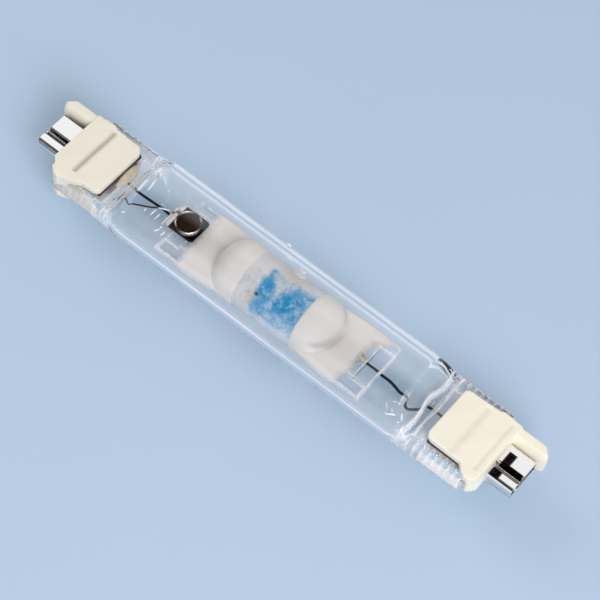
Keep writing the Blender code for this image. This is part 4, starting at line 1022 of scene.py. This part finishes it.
def fused(name, prisms, material, rounds, shape=None, paint=None):
    """Prisms fused into one skin by a voxel grid, and relaxed for some rounds to round its edges.

    shape, a function of the points, bends the finished skin, and paint is as for set_down.
    """
    rough = piece(name + "_rough", prisms, material)
    grid = rough.modifiers.new("fuse", "REMESH")
    grid.mode = "VOXEL"
    grid.voxel_size = VOXEL
    relax = rough.modifiers.new("relax", "SMOOTH")
    relax.factor = 0.5
    relax.iterations = rounds
    bpy.context.view_layer.update()
    ready = rough.evaluated_get(bpy.context.evaluated_depsgraph_get())
    mesh = bpy.data.meshes.new_from_object(ready)
    bpy.data.objects.remove(rough, do_unlink=True)
    if shape:
        points = np.empty(len(mesh.vertices) * 3, np.float32)
        mesh.vertices.foreach_get("co", points)
        bent = shape(points.reshape(-1, 3).astype(float)).astype(np.float32)
        mesh.vertices.foreach_set("co", bent.ravel())
    mesh.shade_smooth()
    return set_down(name, mesh, paint)


def finger_layer(inset):
    """The finger's outline in mm, drawn in by inset mm, less towards its outer side and its tip."""
    low, high, tip = 6.2 + inset, 9.8 - 0.4 * inset, 81.0 - 0.6 * inset
    return ((69.0, low), (tip - 1.4, low), (tip, low + 0.4 - 0.2 * inset),
            (tip, high - 2.2 + 0.5 * inset), (tip - 1.8, high), (69.0, high))


def groove_share(points, grooves, column):
    """Sum over the grooves of depth or painted shade times a bump of the groove's width, faded at its
    ends.
    """
    x, y, z = points.T
    inside = 1 - ramp(np.abs(y), 7.8 * MM, 8.8 * MM)
    broad = ramp(np.abs(z), 3.7 * MM, 4.2 * MM)
    total = np.zeros(len(x))
    for groove in grooves:
        total += groove[column] * bump(np.abs(x) / MM - groove[0], groove[1])
    return total * inside * broad


def pressed_uneven(points, grooves):
    """Sinks the grooves into both broad faces and adds a slow unevenness of 0.06 mm."""
    x, y, z = points.T
    lump = 0.06 * MM * (np.sin(x / (1.7 * MM) + 2.0) * np.sin(y / (2.3 * MM))
                        + 0.6 * np.sin(x / (0.9 * MM)) * np.sin(y / (1.1 * MM) + 1.0))
    sunk = groove_share(points, grooves, 2) * MM
    lump = lump * ramp(np.abs(z), 3.7 * MM, 4.2 * MM)
    return np.column_stack([x, y, z - np.sign(z) * (sunk + lump)])


for side, label in SIDES:
    grooves = GROOVES[label]
    jaw = JAW + JAW_REST[label]
    solids = []
    for up in (-1, 1):
        for outline, top in ((jaw, JAW_TOP), (NECK, NECK_TOP)):
            low, high = sorted((up * SLOT_HALF, up * top))
            solids.append(prism([(side * x, y) for x, y in outline], low, high))
    solids.append(prism([(side * x, y) for x, y in NECK], -NECK_TOP, NECK_TOP))
    lips = (((LEFT_LIP, LIP_BOTTOM),) if side < 0 else
            ((RIGHT_LIP, GLASS_TOP), (RIGHT_FOOT, FOOT_BOTTOM)))
    solids += [prism([(side * x, y) for x, y in lip], bottom, JAW_TOP) for lip, bottom in lips]
    for top in np.array(FINGER_TOPS) * MM:
        inset = FINGER_INSET * (1 - quarter(top - FINGER_FLAT, FINGER_CROWN))
        solids.append(prism([(side * x, y) for x, y in finger_layer(inset)], -top, top))
    # The right cap gets the lighter tones: painted light.
    cap = fused("steatite_cap_" + label, solids, ceramic, rounds=14,
                shape=lambda points: pressed_uneven(points, grooves),
                paint={"painted_crevice_shade": lambda points: groove_share(points, grooves, 3),
                       "painted_lighter_cap": lambda points: np.full(len(points), float(side > 0))})
    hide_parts("cap_" + label)


# Cement
# A sandy refractory cement, pressed into the caps' slots round the seal and baked. At the left cap
# some has squeezed out of the jaws and set as a smooth lobe.
cement, tree, place = new_material("sand_cement")
# Grit of about a millimetre shows as a speckle; past 54.5 mm the cement in the jaws is painted dark
# as shade.
grit, colour = speckle(tree, place, 1.111, "#B9A488", "#DCCDB4", detail=5.0)
colour = stained(tree, colour, "painted_crevice_shade", "#4A3B30")
relief = node(tree, "Bump", {"Height": grit, "Distance": 0.1 * MM, "Strength": 0.4})
surface = node(tree, "BsdfPrincipled", {"Base Color": colour, "Roughness": 0.9, "Normal": relief})
node(tree, "OutputMaterial", {"Surface": surface})

SLAB = ((54.7, -8.5), (68.6, -8.5), (68.6, 8.5), (54.7, 8.5))
WEB_SIDE = 1.55 * MM
LOBE_PLACE = (-55.3 * MM, 2.2 * MM)
LOBE_SIZE = (3.1 * MM, 4.9 * MM, 2.75 * MM)

for side, label in SIDES:
    solids = [prism([(side * x, y) for x, y in SLAB], *sorted((up * WEB_SIDE, up * SLOT_HALF)))
              for up in (-1, 1)]
    if side < 0:
        solids.append(rings_to_shell(ellipsoid((*LOBE_PLACE, 0.0), LOBE_SIZE)))
    # Painted shade: dark brown from 54.1 mm outwards, so only the lobe outside the jaws keeps its
    # colour.
    filler = fused("slot_cement_" + label, solids, cement, rounds=3, paint={
        "painted_crevice_shade": lambda points: 1 - ramp(-np.abs(points[:, 0]), -54.5 * MM, -54.1 * MM)})
    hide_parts("cement_" + label)


# Contacts
# Nickel strip, rolled into a flat tube that stands in the cap's neck: one edge is turned in, the
# other curls up into a bead beside it, and the seam between them is a dark slit.
nickel, tree, place = new_material("rolled_nickel")
# Rolling lines, a third of a millimetre apart and twenty times as long, so fine that they only dull
# the shine, and painted dark reflections and shade in boxes on the upper side.
drawn = node(tree, "Mapping", {"Vector": place, "Scale": (0.05, 1.0, 1.0)})
lines = node(tree, "TexNoise", {"Vector": drawn, "Scale": 1 / (0.3333 * MM), "Detail": 2.0})
rub = node(tree, "MapRange", {"Value": lines, "To Min": 0.12, "To Max": 0.3})
# Painted dark reflections and shade, near black, broken up a little by noise.
painted_reflection_shade = node(tree, "Attribute", attribute_name="painted_reflection_shade")
patch = node(tree, "TexNoise", {"Vector": place, "Scale": 1 / (0.625 * MM), "Detail": 4.0})
patch = node(tree, "MapRange", {"Value": patch, "From Min": 0.3, "From Max": 0.7, "To Min": 0.95,
                                "To Max": 1.1})
dark = node(tree, "Math", {0: painted_reflection_shade.outputs["Fac"], 1: patch}, operation="MULTIPLY",
            use_clamp=True)
colour = node(tree, "Mix", {0: dark, 6: linear("#F4F2F0"), 7: linear("#120C0B")}, data_type="RGBA")
surface = node(tree, "BsdfPrincipled", {"Base Color": colour.outputs[2], "Metallic": 1.0,
                                        "Roughness": rub})
node(tree, "OutputMaterial", {"Surface": surface})

CONTACT_START = 71.2 * MM
CONTACT_END = 79.2 * MM
STRIP = 0.4 * MM
STRIP_LINE = ((-0.75, 0.3), (-0.6, 0.9), (-0.55, 1.4), (-0.2, 1.7), (0.4, 1.7), (4.6, 1.7),
              (5.05, 1.55), (5.25, 1.1), (5.25, -1.1), (5.05, -1.55), (4.6, -1.7), (-4.6, -1.7),
              (-5.05, -1.55), (-5.25, -1.1), (-5.25, 1.1), (-5.05, 1.55), (-4.6, 1.7), (-3.0, 1.68),
              (-2.7, 1.45), (-2.55, 0.9), (-2.2, 0.75), (-1.85, 1.0), (-1.8, 1.4), (-2.0, 1.6))


def strip_ring(line, thickness):
    """The outline of a strip bent along a line: the line offset by half its thickness each way."""
    ahead = unit(np.gradient(line, axis=0))
    aside = np.column_stack([-ahead[:, 1], ahead[:, 0]]) * thickness / 2
    return np.concatenate([line + aside, (line - aside)[::-1]])


flat_line = np.column_stack([np.array(STRIP_LINE) * MM, np.zeros(len(STRIP_LINE))])
line = curve_through(flat_line, 12)[:, :2]
length = np.concatenate([[0], np.cumsum(np.linalg.norm(np.diff(line, axis=0), axis=1))])
even = np.linspace(0, length[-1], 240)
line = np.column_stack([np.interp(even, length, line[:, 0]), np.interp(even, length, line[:, 1])])
ring = strip_ring(line, STRIP)
# Painted dark reflections and shade: boxes in mm, from x to x and from y to y, and how dark each is.
DARK_REFLECTIONS = {"left": ((70.0, 79.4, 4.8, 5.7, 0.9), (70.0, 80.0, -1.75, -0.55, 0.95),
                  (70.0, 80.0, -2.95, -2.3, 1.0), (70.0, 80.0, -5.5, -5.05, 0.85)),
         "right": ((72.3, 74.7, -1.2, 3.4, 1.0), (72.3, 79.0, -1.2, 0.1, 1.0),
                   (71.6, 74.5, -5.2, -2.4, 1.0), (71.6, 79.2, -5.2, -4.5, 0.85),
                   (71.6, 79.2, -2.9, -2.35, 0.8))}


def band(value, low, high, soft):
    """1 from low to high and 0 outside, with edges that are soft each way."""
    return ramp(value, low - soft, low + soft) * (1 - ramp(value, high - soft, high + soft))


def paint_dark_reflections(where, marks):
    """Soft-edged painted dark reflections and shade on the upper side: boxes in mm."""
    x, y, z = where.T / MM
    x = np.abs(x)
    total = np.zeros(len(x))
    for x0, x1, y0, y1, much in marks:
        inside = band(x, x0, x1, 0.3) * band(y, y0, y1, 0.15)
        total = np.maximum(total, much * inside)
    return total * (z > 0)


for side, label in SIDES:
    rows = np.sort(side * np.linspace(CONTACT_START, CONTACT_END, 50))
    rings = np.stack([np.column_stack([np.full(len(ring), x), ring]) for x in rows])
    contact = piece("nickel_contact_" + label, [rings_to_shell(rings)], nickel,
                    paint={"painted_reflection_shade": lambda where: paint_dark_reflections(where, DARK_REFLECTIONS[label])})
    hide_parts("contact_" + label)


# Condensed halide
# The salts that fill the burning lamp with vapour. They have set on the bulb's wall as one drop,
# which is matt and yellow-brown, with crystals of two thirds of a millimetre.
salt, tree, place = new_material("condensed_salt")
colour = speckle(tree, place, 0.6667, "#5A3A16", "#C9B27A")[1]
surface = node(tree, "BsdfPrincipled", {"Base Color": colour, "Roughness": 0.6})
node(tree, "OutputMaterial", {"Surface": surface})
nodes["halide_dose"].data.materials.clear()
nodes["halide_dose"].data.materials.append(salt)
